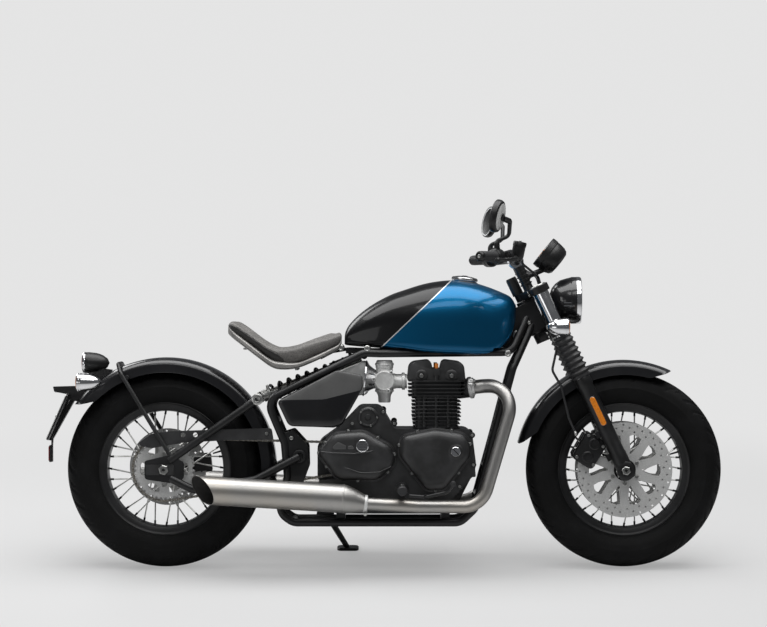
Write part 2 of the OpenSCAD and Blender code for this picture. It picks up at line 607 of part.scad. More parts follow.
module rear_caliper() difference() {
    at_rear() rotate([0, -6, 0]) side_plate(rear_disc_y - 12, dropout_y - rear_disc_y + 14)
        polygon(outline([[58, -30, 8], [140, -36, 12], [146, 34, 12], [58, 34, 8]], 4));
    at_rear() side_plate(rear_disc_y - 8, 16) circle(rear_disc_r + 6);
    at_rear() side_plate(0, rear_disc_y + 9) circle(78);
}
shock_a = [arm_top[0], 0, arm_top[2]];
module rear_shock() color("#202020") parked() {
    d = unit(shock_top - shock_a);
    len = norm(shock_top - shock_a);
    rod(shock_a + (12 + seat_gap) * d, shock_top - (11 + seat_gap) * d, 20);
    for (i = [0:9]) translate(shock_a + d * (50 + i * (len - 100) / 9))
        rotate([0, acos(d[2]), atan2(d[1], d[0])]) rotate_extrude() translate([25, 0]) circle(6.5);
}

// Engine: crankcase, covers, finned block and head.
case_rows = [[498, 300, 40], [498, 410, 40], [570, 462, 30], [636, 530, 30], [704, 530, 30],
    [748, 456, 20], [1000, 456, 30], [1016, 330, 60], [940, mount_top_z + seat_gap, 40],
    [540, mount_top_z + seat_gap, 40]];
chain_front = [566, 360];
module crankcase() color("#242424") parked() difference() {
    side_plate(-case_half_w, 2 * case_half_w) polygon(outline(case_rows, 5));
    // room for the frame's rails at the front
    both_sides() side_plate(rail_y - frame_tube_d / 2 - 6, 90) polygon([[1100, 100], [900, 100],
        [900, 190], [1000, 300], [1100, 300]]);
    // pocket for the chain and its front sprocket
    side_plate(-case_half_w - 1, case_half_w - 83) {
        translate(chain_front) circle(62);
        polygon([[450, 278], [566, 296], [566, 424], [450, 426]]);
    }
}
clutch_rows = [[764, 438, 36], [880, 462, 90], [990, 446, 50], [1004, 372, 50], [912, 254, 36],
    [850, 252, 36], [756, 372, 50]];
sprocket_rows = [[492, 380, 24], [548, 448, 50], [650, 456, 60], [744, 404, 40], [760, 346, 40],
    [700, 286, 50], [560, 288, 50]];
function scaled_rows(rows, c, s) = [for (q = rows) [c[0] + (q[0] - c[0]) * s,
    c[1] + (q[1] - c[1]) * s, q[2] * s]];
cover_t = 30;
module cover(rows, c, side) {
    y = case_half_w + seat_gap;
    for (layer = [[0, 1], [cover_t * 0.5, 0.94], [cover_t * 0.8, 0.84]])
        side_plate(side > 0 ? y : -y - layer[0] - cover_t * 0.5, layer[0] + cover_t * 0.5)
            polygon(outline(scaled_rows(rows, c, layer[1]), 5));
}
module engine_covers() color("#1f1f1f") parked() {
    cover(clutch_rows, [880, 362], -1);
    cover(sprocket_rows, [626, 368], -1);
    cover([[780, 440, 60], [970, 446, 60], [985, 300, 70], [880, 254, 60], [780, 290, 60]],
        [880, 356], 1);
    cover(sprocket_rows, [626, 368], 1);
    cross_rod(946, 384, -case_half_w - cover_t * 1.5, -case_half_w - cover_t * 0.8, 22);
    cross_rod(645, 403, -case_half_w - cover_t * 1.4, -case_half_w - cover_t * 0.8, 19);
}
block_x0 = 805;
block_x1 = 965;
block_z0 = 456.3;
head_z0 = 560;
head_x0 = 794;
head_x1 = 976;
module fins(x0, x1, half_w, z0, count, r)
    for (i = [0:count - 1]) translate([0, 0, z0 + i * fin_pitch]) linear_extrude(fin_t)
        polygon(outline([[x0, -half_w, r], [x1, -half_w, r], [x1, half_w, r], [x0, half_w, r]], 4));
module cylinder_block() color("#262626") parked() {
    translate([block_x0 + 16, -block_half_w + 16, block_z0])
        cube([block_x1 - block_x0 - 32, 2 * block_half_w - 32, head_z0 - seat_gap - block_z0]);
    fins(block_x0, block_x1, block_half_w, block_z0 + 8, floor((head_z0 - block_z0 - 12) / fin_pitch), 26);
}
cam_z0 = 616;
cam_z1 = 681;
module cylinder_head() color("#202020") parked() {
    translate([head_x0 + 16, -block_half_w + 16, head_z0])
        cube([head_x1 - head_x0 - 32, 2 * block_half_w - 32, cam_z0 - head_z0]);
    fins(head_x0, head_x1, block_half_w, head_z0, 5, 20);
    // cam cover: two humps with a valley between them
    translate([0, block_half_w - 16, 0]) rotate([90, 0, 0]) linear_extrude(2 * block_half_w - 32)
        polygon(outline([[head_x0 - 4, cam_z0 - 2, 4], [head_x1 + 4, cam_z0 - 2, 4],
            [head_x1 - 4, cam_z1 - 8, 24], [905, cam_z1, 16], [894, cam_z0 + 34, 8],
            [876, cam_z0 + 34, 8], [865, cam_z1, 16], [head_x0 + 4, cam_z1 - 8, 24]], 4));
    both_sides() rod(port - 36 * port_dir, port - seat_gap * port_dir, header_r + 9);
}
module intake() color("#b0b0b0") parked() both_sides() {
    rod([716, 72, 560], [716, 72, 676], 27);
    rod([716, 72, 540], [716, 72, 562], 18);
    rod([650, 72, 608], [head_x0 - 4 - seat_gap, 72, 608], 24);
    cross_rod(716, 612, 90, 132, 32);
    // trumpet housing
    side_plate(38, 50) polygon(outline([[536, 590, 20], [560, 640, 16], [664, 682, 16],
        [664, 566, 16], [560, 556, 20]], 4));
}
rad_low = [1050, 0, 330];
rad_lean = 14.5;
module radiator() color("#181818") parked() translate(rad_low) rotate([0, rad_lean, 0]) {
    translate([-16, -64, 0]) cube([32, 128, 260]);
    for (i = [0:12]) translate([-19, -58, 8 + i * 19]) cube([38, 116, 5]);
    both_sides() translate([-12, 60, 20]) cube([24, 10, 220]);
    // ears against the frame's front tubes
    both_sides() translate([-8, 60, 217]) cube([16, 17, 16]);
    both_sides() translate([-8, 60, 12]) cube([16, 29, 16]);
}

// Exhaust: a header from each port and a slash-cut silencer on each side.
port = [992.4, 73, 586];
port_dir = unit([48, 11, 6]);
header_route = [port, port + [48, 11, 6], [1146, 150, 594], [1030, 171, 206], [830, 172, 206],
    [660, 184, 216]];
silencer_front = [585, 193, 233];
silencer_rear = [130, 193, 260];
slash_a = 34;
module header_pipes() color("#b0aea8") parked() both_sides()
    tube(rounded_path(header_route, 80, 6), header_r, 16);
module silencers() color("#a8a6a0") parked() both_sides() {
    d = unit(silencer_rear - silencer_front);
    difference() {
        union() {
            rod(silencer_front, silencer_rear + 60 * d, silencer_r);
            rod([662, 184, 216], silencer_front + 4 * d, header_r + 4, silencer_r - 0.5);
        }
        rod(silencer_rear - 70 * d, silencer_rear + 70 * d, silencer_r - 3);
        rod([663, 184, 216], [645, 185.7, 220], header_r + seat_gap);
        translate(silencer_rear) rotate([0, 0, -slash_a]) rotate([0, -20, 0])
            translate([-260, -150, -150]) cube([260, 300, 300]);
    }
}

// Fuel tank, drawn in sections from back to front: [x, bottom, top, half width].
tank_rows = [[586, 730, 758, 0.42], [590, 727, 774, 0.49], [604, 725, 797, 0.55], [636, 722, 829, 0.63],
    [680, 719, 861, 0.72], [734, 714, 890, 0.81], [784, 708, 908, 0.88], [846, 700, 927, 0.95],
    [904, 696, 937, 0.99], [960, 694, 939, 1], [1010, 692, 931, 0.97], [1050, 692, 919, 0.91],
    [1080, 699, 908, 0.84], [1106, 724, 897, 0.74], [1126, 750, 887, 0.62], [1138, 780, 874, 0.47],
    [1145, 812, 860, 0.28], [1148, 832, 850, 0.12]];
function signed_pow(v, e) = sign(v) * pow(abs(v), e);
function tank_ring(q, n = 28) = let (mid = q[1] + (q[2] - q[1]) * 0.42, hw = q[3] * tank_half_w)
    [for (k = [0:n - 1]) let (a = 360 * k / n, c = cos(a), s = sin(a))
        [q[0], hw * signed_pow(c, s > 0 ? 0.82 : 0.25),
            s > 0 ? mid + (q[2] - mid) * signed_pow(s, 0.86) : mid + (mid - q[1]) * signed_pow(s, 0.3)]];
tunnel_half_w = 38;
rail_cover_y = 116;
cap_c = [978, 0, 930];
module fuel_tank() color("#0b4f8a") parked() {
    difference() {
        skin([for (q = tank_rows) tank_ring(q)]);
        side_plate(-tunnel_half_w, 2 * tunnel_half_w)
            polygon([[560, 600], [560, 742], [700, 748], [900, 786], [1080, 830], [1200, 890], [1200, 600]]);
        side_plate(-rail_cover_y, 2 * rail_cover_y) polygon([[560, 600], [560, 718], [1100, 718],
            [1142, 740], [1200, 840], [1200, 600]]);
    }
    // filler cap
    translate(cap_c) rotate([0, 6, 0]) {
        cylinder(h = 18, r = 42);
        translate([0, 0, 17.5]) cylinder(h = 4, r1 = 40, r2 = 32);
    }
}

// Seat: sections from back to front: [x, bottom, top, half width, dish].
seat_rows = [[206, 778, 802, 0.48, 0], [214, 770, 810, 0.66, 0], [230, 757, 813, 0.82, 4],
    [262, 733, 793, 0.94, 8], [308, 698, 760, 1, 12], [346, 671, 738, 1, 16], [378, 662, 729, 0.97, 18],
    [430, 666, 737, 0.88, 16], [490, 689, 755, 0.76, 10], [540, 713, 769, 0.66, 4],
    [564, 726, 770, 0.58, 0], [574, 738, 760, 0.48, 0]];
function seat_ring(q, n = 24) = let (mid = (q[1] + q[2]) / 2, hw = q[3] * seat_half_w)
    [for (k = [0:n - 1]) let (a = 360 * k / n, c = cos(a), s = sin(a), y = hw * signed_pow(c, 0.7))
        [q[0], y, mid + (q[2] - mid) * signed_pow(s, 0.55)
            - (s > 0 ? q[4] * (1 - pow(y / hw, 2)) : 0)]];
pan_t = 15;
module seat() color("#3c3b39") parked() skin([for (q = seat_rows) seat_ring(q)]);
module seat_pan() color("#55534f") parked() {
    skin([for (q = seat_rows) let (hw = q[3] * seat_half_w + 1, z = q[1] - seat_gap, x = q[0])
        [for (k = [0:11]) let (a = 360 * k / 12 + 15) [x, hw * signed_pow(cos(a), 0.4),
            z - pan_t / 2 + pan_t / 2 * signed_pow(sin(a), 0.3)]]]);
    side_plate(-20, 40) polygon([[500, 684], [548, 714], [600, 719], [686, 716], [686, 709],
        [672, 709], [668, 703.5], [641, 703.5], [636, 709], [600, 709], [548, 700], [510, 680]]);
}
side_cover_rows = [[368, 545, 12], [562, 646, 24], [646, 630, 14], [646, 588, 24], [578, 468, 24],
    [552, 460, 16], [406, 465, 24]];
side_cover_y = 131.5;
module side_covers() color("#1d1d1f") parked() both_sides() {
    side_plate(side_cover_y, 12) polygon(outline(side_cover_rows, 4));
    side_plate(side_cover_y + 12, 10) polygon(outline(scaled_rows(side_cover_rows, [520, 545], 0.9), 4));
    // stud to the intake
    cross_rod(600, 620, 88 + seat_gap, side_cover_y + 1, 8);
}

// Chain guard, chain, foot pieces.
guard_y = -113;
module chain_guard() color("#151515") parked() {
    chain_guard_plate();
    cross_rod(130, 430.3, -dropout_y - 6 + frame_tube_d / 2 + seat_gap, guard_y + 1, 6);
}
module chain_guard_plate() side_plate(guard_y, sheet_t) difference() {
    polygon(outline([[-84, 408, 4], [-40, 440, 40], [20, 448, 20], [350, 458, 10], [356, 420, 6],
        [200, 418, 10], [60, 410, 20], [-40, 392, 30], [-72, 398, 8]], 4));
    translate([62, 436]) circle(8);
    translate([102, 436]) circle(8);
}
chain_front_r = 44;
chain_rear_r = 92;
chain_half_h = 6;
// Two tangent lines and two arcs round both sprockets, offset by d.
function chain_loop(d) = let (r0 = chain_rear_r + 4 + d, r1 = chain_front_r + d,
    v = chain_front - [0, rear_tyre_r], a = atan2(v[1], v[0]), b = acos((r0 - r1) / norm(v)))
    concat([for (i = [0:24]) let (t = a + b + (360 - 2 * b) * i / 24)
            [0, rear_tyre_r] + r0 * [cos(t), sin(t)]],
        [for (i = [0:12]) let (t = a - b + 2 * b * i / 12) chain_front + r1 * [cos(t), sin(t)]]);
module drive_chain() color("#6e6a62") parked() {
    side_plate(sprocket_y - 6, 12) difference() {
        polygon(chain_loop(chain_half_h + 5.3));
        polygon(chain_loop(2.3));
    }
    // front sprocket on its shaft
    cross_rod(chain_front[0], chain_front[1], sprocket_y - 3, sprocket_y + 3, chain_front_r + 4);
    cross_rod(chain_front[0], chain_front[1], sprocket_y, -84 - seat_gap, 15);
}
peg_x = 773;
lever_arm = [[780, 206, 254], [790, 216, 244], [850, 222, 240], [918, 240, 256], [936, 262, 282]];
module foot_controls() color("#1a1a1a") parked() both_sides() {
    cross_rod(peg_x, footrest_z, 196, footrest_end_y, 15);
    cross_rod(peg_x, footrest_z, case_half_w + seat_gap, 197, 11);
    cross_rod(peg_x, footrest_z, case_half_w + seat_gap, case_half_w + 6, 22);
    tube(rounded_path(lever_arm, 30, 3), 6, 8);
    cross_rod(936, 284, 240, 286, 9);
}

// Side stand, swung out to its stop; it folds back under the left silencer.
stand_foot_y = 228;
// Height of the ground in the upright drawing at a given Y.
function ground_z(y) = (y * sin(lean) - lean_lift) / cos(lean);
stand_sole_t = 9;
stand_foot = [592, stand_foot_y, ground_z(stand_foot_y)];
stand_leg_r = 11;
module side_stand() color("#1c1c1c") parked() {
    difference() {
        union() {
            rod(stand_pivot + [4, 3, -12], stand_foot + [0, 0, stand_sole_t - 2], stand_leg_r,
                stand_leg_r - 2);
            cross_rod(stand_pivot[0], stand_pivot[2], stand_pivot[1] - 7, stand_pivot[1] + 7, 19);
        }
        cross_rod(stand_pivot[0], stand_pivot[2], stand_pivot[1] - 40, stand_pivot[1] + 40,
            stand_pin_r + run_gap);
        cross_rod(stand_pivot[0], stand_pivot[2], stand_pivot[1] + 7, stand_pivot[1] + 60, 16);
    }
    translate(stand_foot) rotate([lean, 0, 0]) translate([-34, -24, 0])
        cube([72, 50, stand_sole_t]);
}

frame();
swingarm();
rear_shock();
crankcase();
engine_covers();
cylinder_block();
cylinder_head();
intake();
radiator();
header_pipes();
silencers();
fuel_tank();
seat();
seat_pan();
side_covers();
rear_fender();
rear_lamps();
plate_holder();
chain_guard();
drive_chain();
foot_controls();
rear_axle();
fork_yokes();
fork_tubes();
fork_legs();
fork_gaiters();
handlebar();
hand_controls();
mirrors();
headlamp();
instrument();
front_indicators();
front_fender();
brake_calipers();
front_axle();
brake_hose();
front_tyre();
front_rim();
front_discs();
rear_tyre();
rear_rim();
rear_disc();
rear_sprocket();
side_stand();
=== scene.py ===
"""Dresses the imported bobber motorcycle: its paint, metal, rubber, leather and small parts.

Shapes are written in millimetres on the upright machine, X forward from the rear axle, Y to the
rider's left and Z up from the ground. PARK leans them onto the side stand, as the frame is.
"""

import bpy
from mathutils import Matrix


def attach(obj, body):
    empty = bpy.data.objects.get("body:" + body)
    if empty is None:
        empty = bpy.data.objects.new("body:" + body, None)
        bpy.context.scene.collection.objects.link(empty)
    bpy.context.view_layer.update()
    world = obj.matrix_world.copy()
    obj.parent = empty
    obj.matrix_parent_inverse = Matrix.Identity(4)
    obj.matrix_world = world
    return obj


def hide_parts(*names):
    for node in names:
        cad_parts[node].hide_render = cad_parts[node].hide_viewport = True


bl_info = {"name": "Bobber motorcycle", "version": (1, 0, 0), "blender": (4, 5, 0),
    "location": "View3D > Sidebar > Bobber",
    "description": "Builds a bobber motorcycle around its packed frame", "category": "Object",}

from math import acos, atan2, copysign, cos, hypot, pi, radians, sin, sqrt, tan, tau

import bmesh
import bpy
from mathutils import Matrix, Vector

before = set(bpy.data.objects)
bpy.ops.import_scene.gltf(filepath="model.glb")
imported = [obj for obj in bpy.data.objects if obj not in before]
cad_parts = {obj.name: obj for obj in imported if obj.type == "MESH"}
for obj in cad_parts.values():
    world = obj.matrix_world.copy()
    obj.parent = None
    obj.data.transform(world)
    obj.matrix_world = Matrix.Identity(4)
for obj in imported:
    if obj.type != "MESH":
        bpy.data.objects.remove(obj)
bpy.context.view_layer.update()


def vec(x, y, z):
    """A Vector from three numbers."""
    return Vector((x, y, z))


WHEELBASE = 1500.0
FRONT_R = 320.0
REAR_R = 323.0
CROWN_R = 76.0
BEAD_R = 206.0
LEAN = radians(10)
RAKE = radians(25.4)
TRAIL = 92.0
LIFT = CROWN_R * (1 - cos(LEAN))
ORIGIN = (716.0, 167.0285, -LIFT)
PARK = (Matrix.Translation([-c / 1000 for c in ORIGIN]) @ Matrix.Rotation(-LEAN, 4, "X")
    @ Matrix.Scale(0.001, 4))
AXLE_OFFSET = FRONT_R * sin(RAKE) - TRAIL * cos(RAKE)
FORK_U = vec(-sin(RAKE), 0, cos(RAKE))
FORK_N = vec(cos(RAKE), 0, sin(RAKE))
STEER_FOOT = vec(WHEELBASE, 0, FRONT_R) - AXLE_OFFSET * FORK_N
FORK_Y = 105.0
SIDE = vec(0, 1, 0)
UP = vec(0, 0, 1)
FRONT_AXLE = vec(WHEELBASE, 0, FRONT_R)
REAR_AXLE = vec(0, 0, REAR_R)
# outer face of the engine's case
CASE_Y = 146.3

# the rotation whose axes are ahead of the fork, left, and up the fork
FORK_TURN = Matrix((FORK_N, SIDE, FORK_U)).transposed()


def on_fork(t, o=0.0, y=0.0):
    """A point t up the steering axis, o ahead of it and y to the left."""
    return STEER_FOOT + t * FORK_U + o * FORK_N + y * SIDE


def flip(points):
    """The same points on the other side of the machine."""
    return [vec(p[0], -p[1], p[2]) for p in points]


def rounded(points, radius, steps=6, closed=False):
    """A route with its corners rounded. radius is one number, or one for each point."""
    points = [Vector(p) for p in points]
    count = len(points)
    made = []
    for i, b in enumerate(points):
        r = radius[i] if isinstance(radius, (list, tuple)) else radius
        if (not closed and i in (0, count - 1)) or r <= 0:
            made.append(b)
            continue
        u = (points[i - 1] - b).normalized()
        v = (points[(i + 1) % count] - b).normalized()
        half = acos(max(-1.0, min(1.0, u.dot(v)))) / 2
        if half > radians(89):
            made.append(b)
            continue
        reach = r / tan(half)
        centre = b + (u + v).normalized() * r / sin(half)
        x = (b + u * reach - centre).normalized()
        end = b + v * reach - centre
        y = (end - x * end.dot(x)).normalized()
        sweep = pi - 2 * half
        made += [centre + r * (x * cos(sweep * k / steps) + y * sin(sweep * k / steps))
            for k in range(steps + 1)]
    return made


def outline(rows, steps=6):
    """A closed outline from rows of (x, z, corner radius)."""
    path = rounded([(x, 0, z) for x, z, _ in rows], [r for _, _, r in rows], steps, True)
    return [(p[0], p[2]) for p in path]


def grown(shape, centre, factor):
    """An outline scaled about a point."""
    return [(centre[0] + (x - centre[0]) * factor, centre[1] + (z - centre[1]) * factor) for x, z in shape]


class Shape:
    """Collects the corners and faces of one piece."""

    def __init__(self):
        self.points, self.faces, self.looks = [], [], []

    def face(self, corners, look=0):
        self.faces.append(tuple(corners))
        self.looks.append(look)

    def skin(self, rings, look=0, loop=False, caps=True):
        """Joins rings of equal count, each a closed row of points."""
        size, count, base = len(rings[0]), len(rings), len(self.points)
        for ring in rings:
            self.points += [Vector(p) for p in ring]
        for i in range(count if loop else count - 1):
            a, b = base + i * size, base + (i + 1) % count * size
            for k in range(size):
                n = (k + 1) % size
                self.face((a + k, a + n, b + n, b + k), look)
        if caps and not loop:
            self.face(range(base + size - 1, base - 1, -1), look)
            self.face(range(base + (count - 1) * size, base + count * size), look)
        return self

    def tube(self, path, radius, sides=14, look=0):
        """A round tube along a path. radius is one number, or one for each point."""
        path = [Vector(p) for p in path]
        last = len(path) - 1
        rings, normal = [], None
        for i, p in enumerate(path):
            before = (p - path[i - 1]).normalized() if i else None
            after = (path[i + 1] - p).normalized() if i < last else None
            t = (before + after).normalized() if before and after else (after or before)
            if normal is None:
                normal = t.cross(SIDE if abs(t.y) < 0.9 else vec(0, 0, 1))
            normal = (normal - t * normal.dot(t)).normalized()
            b = t.cross(normal)
            r = radius[i] if isinstance(radius, (list, tuple)) else radius
            rings.append([p + r * (normal * cos(a) + b * sin(a)) for a in (tau * k / sides
                for k in range(sides))])
        return self.skin(rings, look)

    def lathe(self, profile, centre, axis, sides=48, look=0, closed=False):
        """Turns (radius, height) points about an axis. closed joins the last to the first."""
        axis = Vector(axis).normalized()
        x = axis.orthogonal().normalized()
        y = axis.cross(x)
        centre = Vector(centre)
        angles = [tau * k / sides for k in range(sides)]
        if closed:
            return self.skin([[centre + r * (x * cos(a) + y * sin(a)) + axis * h for r, h in profile]
                for a in angles], look, loop=True)
        return self.skin([[centre + max(r, 0.05) * (x * cos(a) + y * sin(a)) + axis * h for a in angles]
            for r, h in profile], look)

    def rod(self, a, b, r, sides=20, look=0, r2=None):
        """A straight round bar or cone."""
        a, b = Vector(a), Vector(b)
        return self.lathe([(r, 0), (r if r2 is None else r2, (b - a).length)], a, b - a, sides, look)

    def plate(self, shape, y0, y1, look=0, edge=0.0):
        """An outline in X and Z, from y0 out to y1, its outer face drawn in by edge."""
        if edge:
            centre = (sum(p[0] for p in shape) / len(shape), sum(p[1] for p in shape) / len(shape))
            reach = max(hypot(x - centre[0], z - centre[1]) for x, z in shape)
            way = 1 if y1 > y0 else -1
            rings = [(y0, 1.0)] + [(y1 - way * edge * (1 - sin(a)), 1 - edge * (1 - cos(a)) / reach)
                for a in (pi / 8 * k for k in range(5))]
            return self.skin([[(x, y, z) for x, z in grown(shape, centre, f)] for y, f in rings], look)
        return self.skin([[(x, y, z) for x, z in shape] for y in (y0, y1)], look)

    def box(self, centre, size, look=0, turn=None):
        """A block. turn is a rotation matrix."""
        half = Vector(size) / 2
        turn = turn or Matrix.Identity(3)
        ring = [(-1, -1), (1, -1), (1, 1), (-1, 1)]
        return self.skin([[Vector(centre) + turn @ vec(half[0] * sx, half[1] * sy, half[2] * sz)
            for sx, sy in ring] for sz in (-1, 1)], look)

    def bolt(self, centre, axis, r=6.0, look=0):
        """A hexagon socket screw: a round head with a recess."""
        self.lathe([(r, 0), (r, r * 0.8), (r * 0.85, r), (r * 0.5, r), (r * 0.45, r * 0.4)], centre, axis,
            14, look)
        return self

    def mirrored(self):
        """Adds the other side's copy of everything so far."""
        base = len(self.points)
        self.points += flip(self.points)
        for corners, look in list(zip(self.faces, self.looks)):
            self.face([base + c for c in reversed(corners)], look)
        return self


def make(name, shape, looks, body, replaces=(), slot=None, bevel=0.0, sharp=35.0):
    """Turns a Shape into an object that rides on a body of the frame. looks are finishes by name,
    in the order of the shape's look numbers."""
    mesh = bpy.data.meshes.new(name)
    mesh.from_pydata([PARK @ Vector(p) for p in shape.points], [], shape.faces)
    for look in looks.split():
        mesh.materials.append(material(look))
    mesh.polygons.foreach_set("material_index", shape.looks)
    tidy = bmesh.new()
    tidy.from_mesh(mesh)
    bmesh.ops.recalc_face_normals(tidy, faces=tidy.faces)
    tidy.to_mesh(mesh)
    tidy.free()
    obj = bpy.data.objects.new(name, mesh)
    bpy.context.scene.collection.objects.link(obj)
    mesh.shade_smooth()
    if bevel:
        mod = obj.modifiers.new("edges", "BEVEL")
        mod.width, mod.segments, mod.limit_method = bevel / 1000, 2, "ANGLE"
        mod.angle_limit = radians(sharp)
        obj.modifiers.new("shading", "WEIGHTED_NORMAL")
    else:
        mesh.set_sharp_from_angle(angle=radians(sharp))
    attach(obj, body)
    if replaces:
        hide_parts(*replaces)
    return obj


def dress(node, shape, looks, slot, body="chassis", **more):
    """The detailed piece that stands for a node of the frame."""
    return make(node + "_dress", shape, looks, body, [node], slot, **more)


class Wire:
    """A node's output that takes part in ordinary expressions."""

    def __init__(self, look, socket):
        self.look, self.socket = look, socket

    def maths(self, operation, a, b=0.0):
        return self.look.node("ShaderNodeMath", {"operation": operation}, {0: a, 1: b})

    def __add__(self, other):
        return self.maths("ADD", self, other)

    def __radd__(self, other):
        return self.maths("ADD", other, self)

    def __sub__(self, other):
        return self.maths("SUBTRACT", self, other)

    def __rsub__(self, other):
        return self.maths("SUBTRACT", other, self)

    def __mul__(self, other):
        return self.maths("MULTIPLY", self, other)

    def __rmul__(self, other):
        return self.maths("MULTIPLY", other, self)

    def __truediv__(self, other):
        return self.maths("DIVIDE", self, other)

    def __pow__(self, other):
        return self.maths("POWER", self, other)

    def __gt__(self, other):
        return self.maths("GREATER_THAN", self, other)

    def __lt__(self, other):
        return self.maths("LESS_THAN", self, other)

    def __abs__(self):
        return self.maths("ABSOLUTE", self)


class Look:
    """One material and its node tree."""

    def __init__(self, name, color, rough, metal=0.0, coat=0.0, **fixed):
        self.mat = bpy.data.materials.new(name)
        self.mat.use_nodes = True
        self.tree = self.mat.node_tree
        self.surface = self.tree.nodes["Principled BSDF"]
        self.set("Base Color", (*color, 1))
        self.set("Roughness", rough)
        self.set("Metallic", metal)
        self.set("Coat Weight", coat)
        for key, value in fixed.items():
            self.set(key.replace("_", " "), value)

    def node(self, kind, settings=None, sockets=None, out=0):
        made = self.tree.nodes.new(kind)
        for key, value in (settings or {}).items():
            setattr(made, key, value)
        for key, value in (sockets or {}).items():
            self.join(value, made.inputs[key])
        return Wire(self, made.outputs[out])

    def join(self, value, socket):
        if isinstance(value, Wire):
            self.tree.links.new(value.socket, socket)
        else:
            socket.default_value = value

    def set(self, name, value):
        self.join(value, self.surface.inputs[name])

    def place(self):
        return self.node("ShaderNodeTexCoord", out="Object")

    def noise(self, scale, detail=2.0, rough=0.5, place=None):
        return self.node("ShaderNodeTexNoise", {}, {"Vector": place or self.place(), "Scale": scale,
            "Detail": detail, "Roughness": rough})

    def cells(self, scale):
        return self.node("ShaderNodeTexVoronoi", {}, {"Vector": self.place(), "Scale": scale})

    def stretched(self, factors):
        """The place scaled along each axis, for brushed or drawn grain."""
        return self.node("ShaderNodeVectorMath", {"operation": "MULTIPLY"}, {0: self.place(), 1: factors})

    def along(self, direction):
        """How far the place lies along a direction."""
        return self.node("ShaderNodeVectorMath", {"operation": "DOT_PRODUCT"},
            {0: self.place(), 1: direction}, out="Value")

    def mix(self, mask, a, b):
        return self.node("ShaderNodeMix", {"data_type": "RGBA"}, {0: mask,
            6: a if isinstance(a, Wire) else (*a, 1), 7: b if isinstance(b, Wire) else (*b, 1)}, out=2)

    def step(self, value, low, high):
        """A smooth step from 0 at low to 1 at high."""
        return self.node("ShaderNodeMapRange", {"interpolation_type": "SMOOTHSTEP"},
            {"Value": value, "From Min": low, "From Max": high})

    def bump(self, height, strength=0.3, distance=0.001):
        self.set("Normal", self.node("ShaderNodeBump", {}, {"Strength": strength, "Distance": distance,
            "Height": height}))
        return self


def upright(direction, point):
    """A plane of the upright machine as a direction in the frame and its distance in metres."""
    turn = PARK.to_3x3() * 1000
    way = (turn @ Vector(direction)).normalized()
    return way, way.dot(PARK @ Vector(point))


def coated(name, dark, light, rough, cloud, spread, grain, **fixed):
    """Paint or casting: slow changes of colour and roughness, as handling and dust leave, over a
    fine grain of (scale, detail, strength, depth)."""
    look = Look(name, dark, rough, **fixed)
    wear = look.noise(cloud, 4.0, 0.6)
    look.set("Base Color", look.mix(look.step(wear, 0.35, 0.7), dark, light))
    look.set("Roughness", wear * spread + (rough - spread / 2))
    scale, detail, strength, depth = grain
    return look.bump(look.noise(scale, detail) if detail else look.cells(scale), strength, depth)


def grained(name, dark, light, scale, detail, rough, spread=0.0, grain=None, **fixed):
    """One fine noise that drives colour and roughness. grain is (scale, strength, depth) of a bump."""
    look = Look(name, dark, rough, **fixed)
    haze = look.noise(scale, detail)
    if dark != light:
        look.set("Base Color", look.mix(haze, dark, light))
    if spread:
        look.set("Roughness", haze * spread + rough)
    if grain:
        look.bump(look.noise(grain[0]) if grain[0] else haze, grain[1], grain[2])
    return look


def tank_paint():
    """Black behind a slanting line, metallic blue ahead of it, with a silver pinstripe between."""
    colors = bpy.context.scene.bobber_colors
    look = Look("two_tone_paint", (0.0, 0.1, 0.3), 0.3, coat=0.32, Coat_Roughness=0.04,
        Specular_IOR_Level=0.2)
    way, edge = upright((217, 0, -228), (930, 0, 934))
    ahead = look.along(way) - edge
    blue = look.step(ahead, 0.0, 0.0004)
    stripe = (abs(ahead - 0.0005) < 0.0016)
    flakes = look.noise(2600.0, 1.0)
    cloud = look.noise(5.0, 3.0)
    deep = look.mix(flakes, tuple(colors.tank_blue), tuple(min(1, 2.1 * c) for c in colors.tank_blue))
    paint = look.mix(blue, (0.003, 0.003, 0.0035), deep)
    look.set("Base Color", look.mix(stripe, paint, (0.62, 0.62, 0.62)))
    look.set("Metallic", blue * 0.75)
    look.set("Roughness", cloud * 0.08 + 0.26)
    return look.bump(look.noise(1100.0), 0.04, 0.0003)


def brushed_steel():
    """Drawn stainless steel, the grain along the pipe, a little straw colour in places."""
    look = Look("brushed_stainless", (0.4, 0.39, 0.38), 0.42, metal=1.0)
    grain = look.noise(60.0, 3.0, 0.6, look.stretched((2.0, 40.0, 40.0)))
    tint = look.noise(3.0, 2.0)
    fresh = look.mix(grain, (0.27, 0.265, 0.255), (0.47, 0.46, 0.445))
    look.set("Base Color", look.mix(look.step(tint, 0.5, 0.8), fresh, (0.46, 0.41, 0.34)))
    look.set("Roughness", grain * 0.2 + 0.32)
    return look.bump(grain, 0.08, 0.0003)


def tyre_rubber():
    look = Look("tyre_rubber", (0.016, 0.016, 0.017), 0.72, Specular_IOR_Level=0.15)
    dust = look.noise(11.0, 5.0, 0.65)
    look.set("Base Color", look.mix(look.step(dust, 0.4, 0.75), (0.003, 0.003, 0.003),
        (0.007, 0.007, 0.0075)))
    look.set("Roughness", dust * 0.2 + 0.56)
    return look.bump(look.noise(1500.0, 3.0), 0.3, 0.0005)


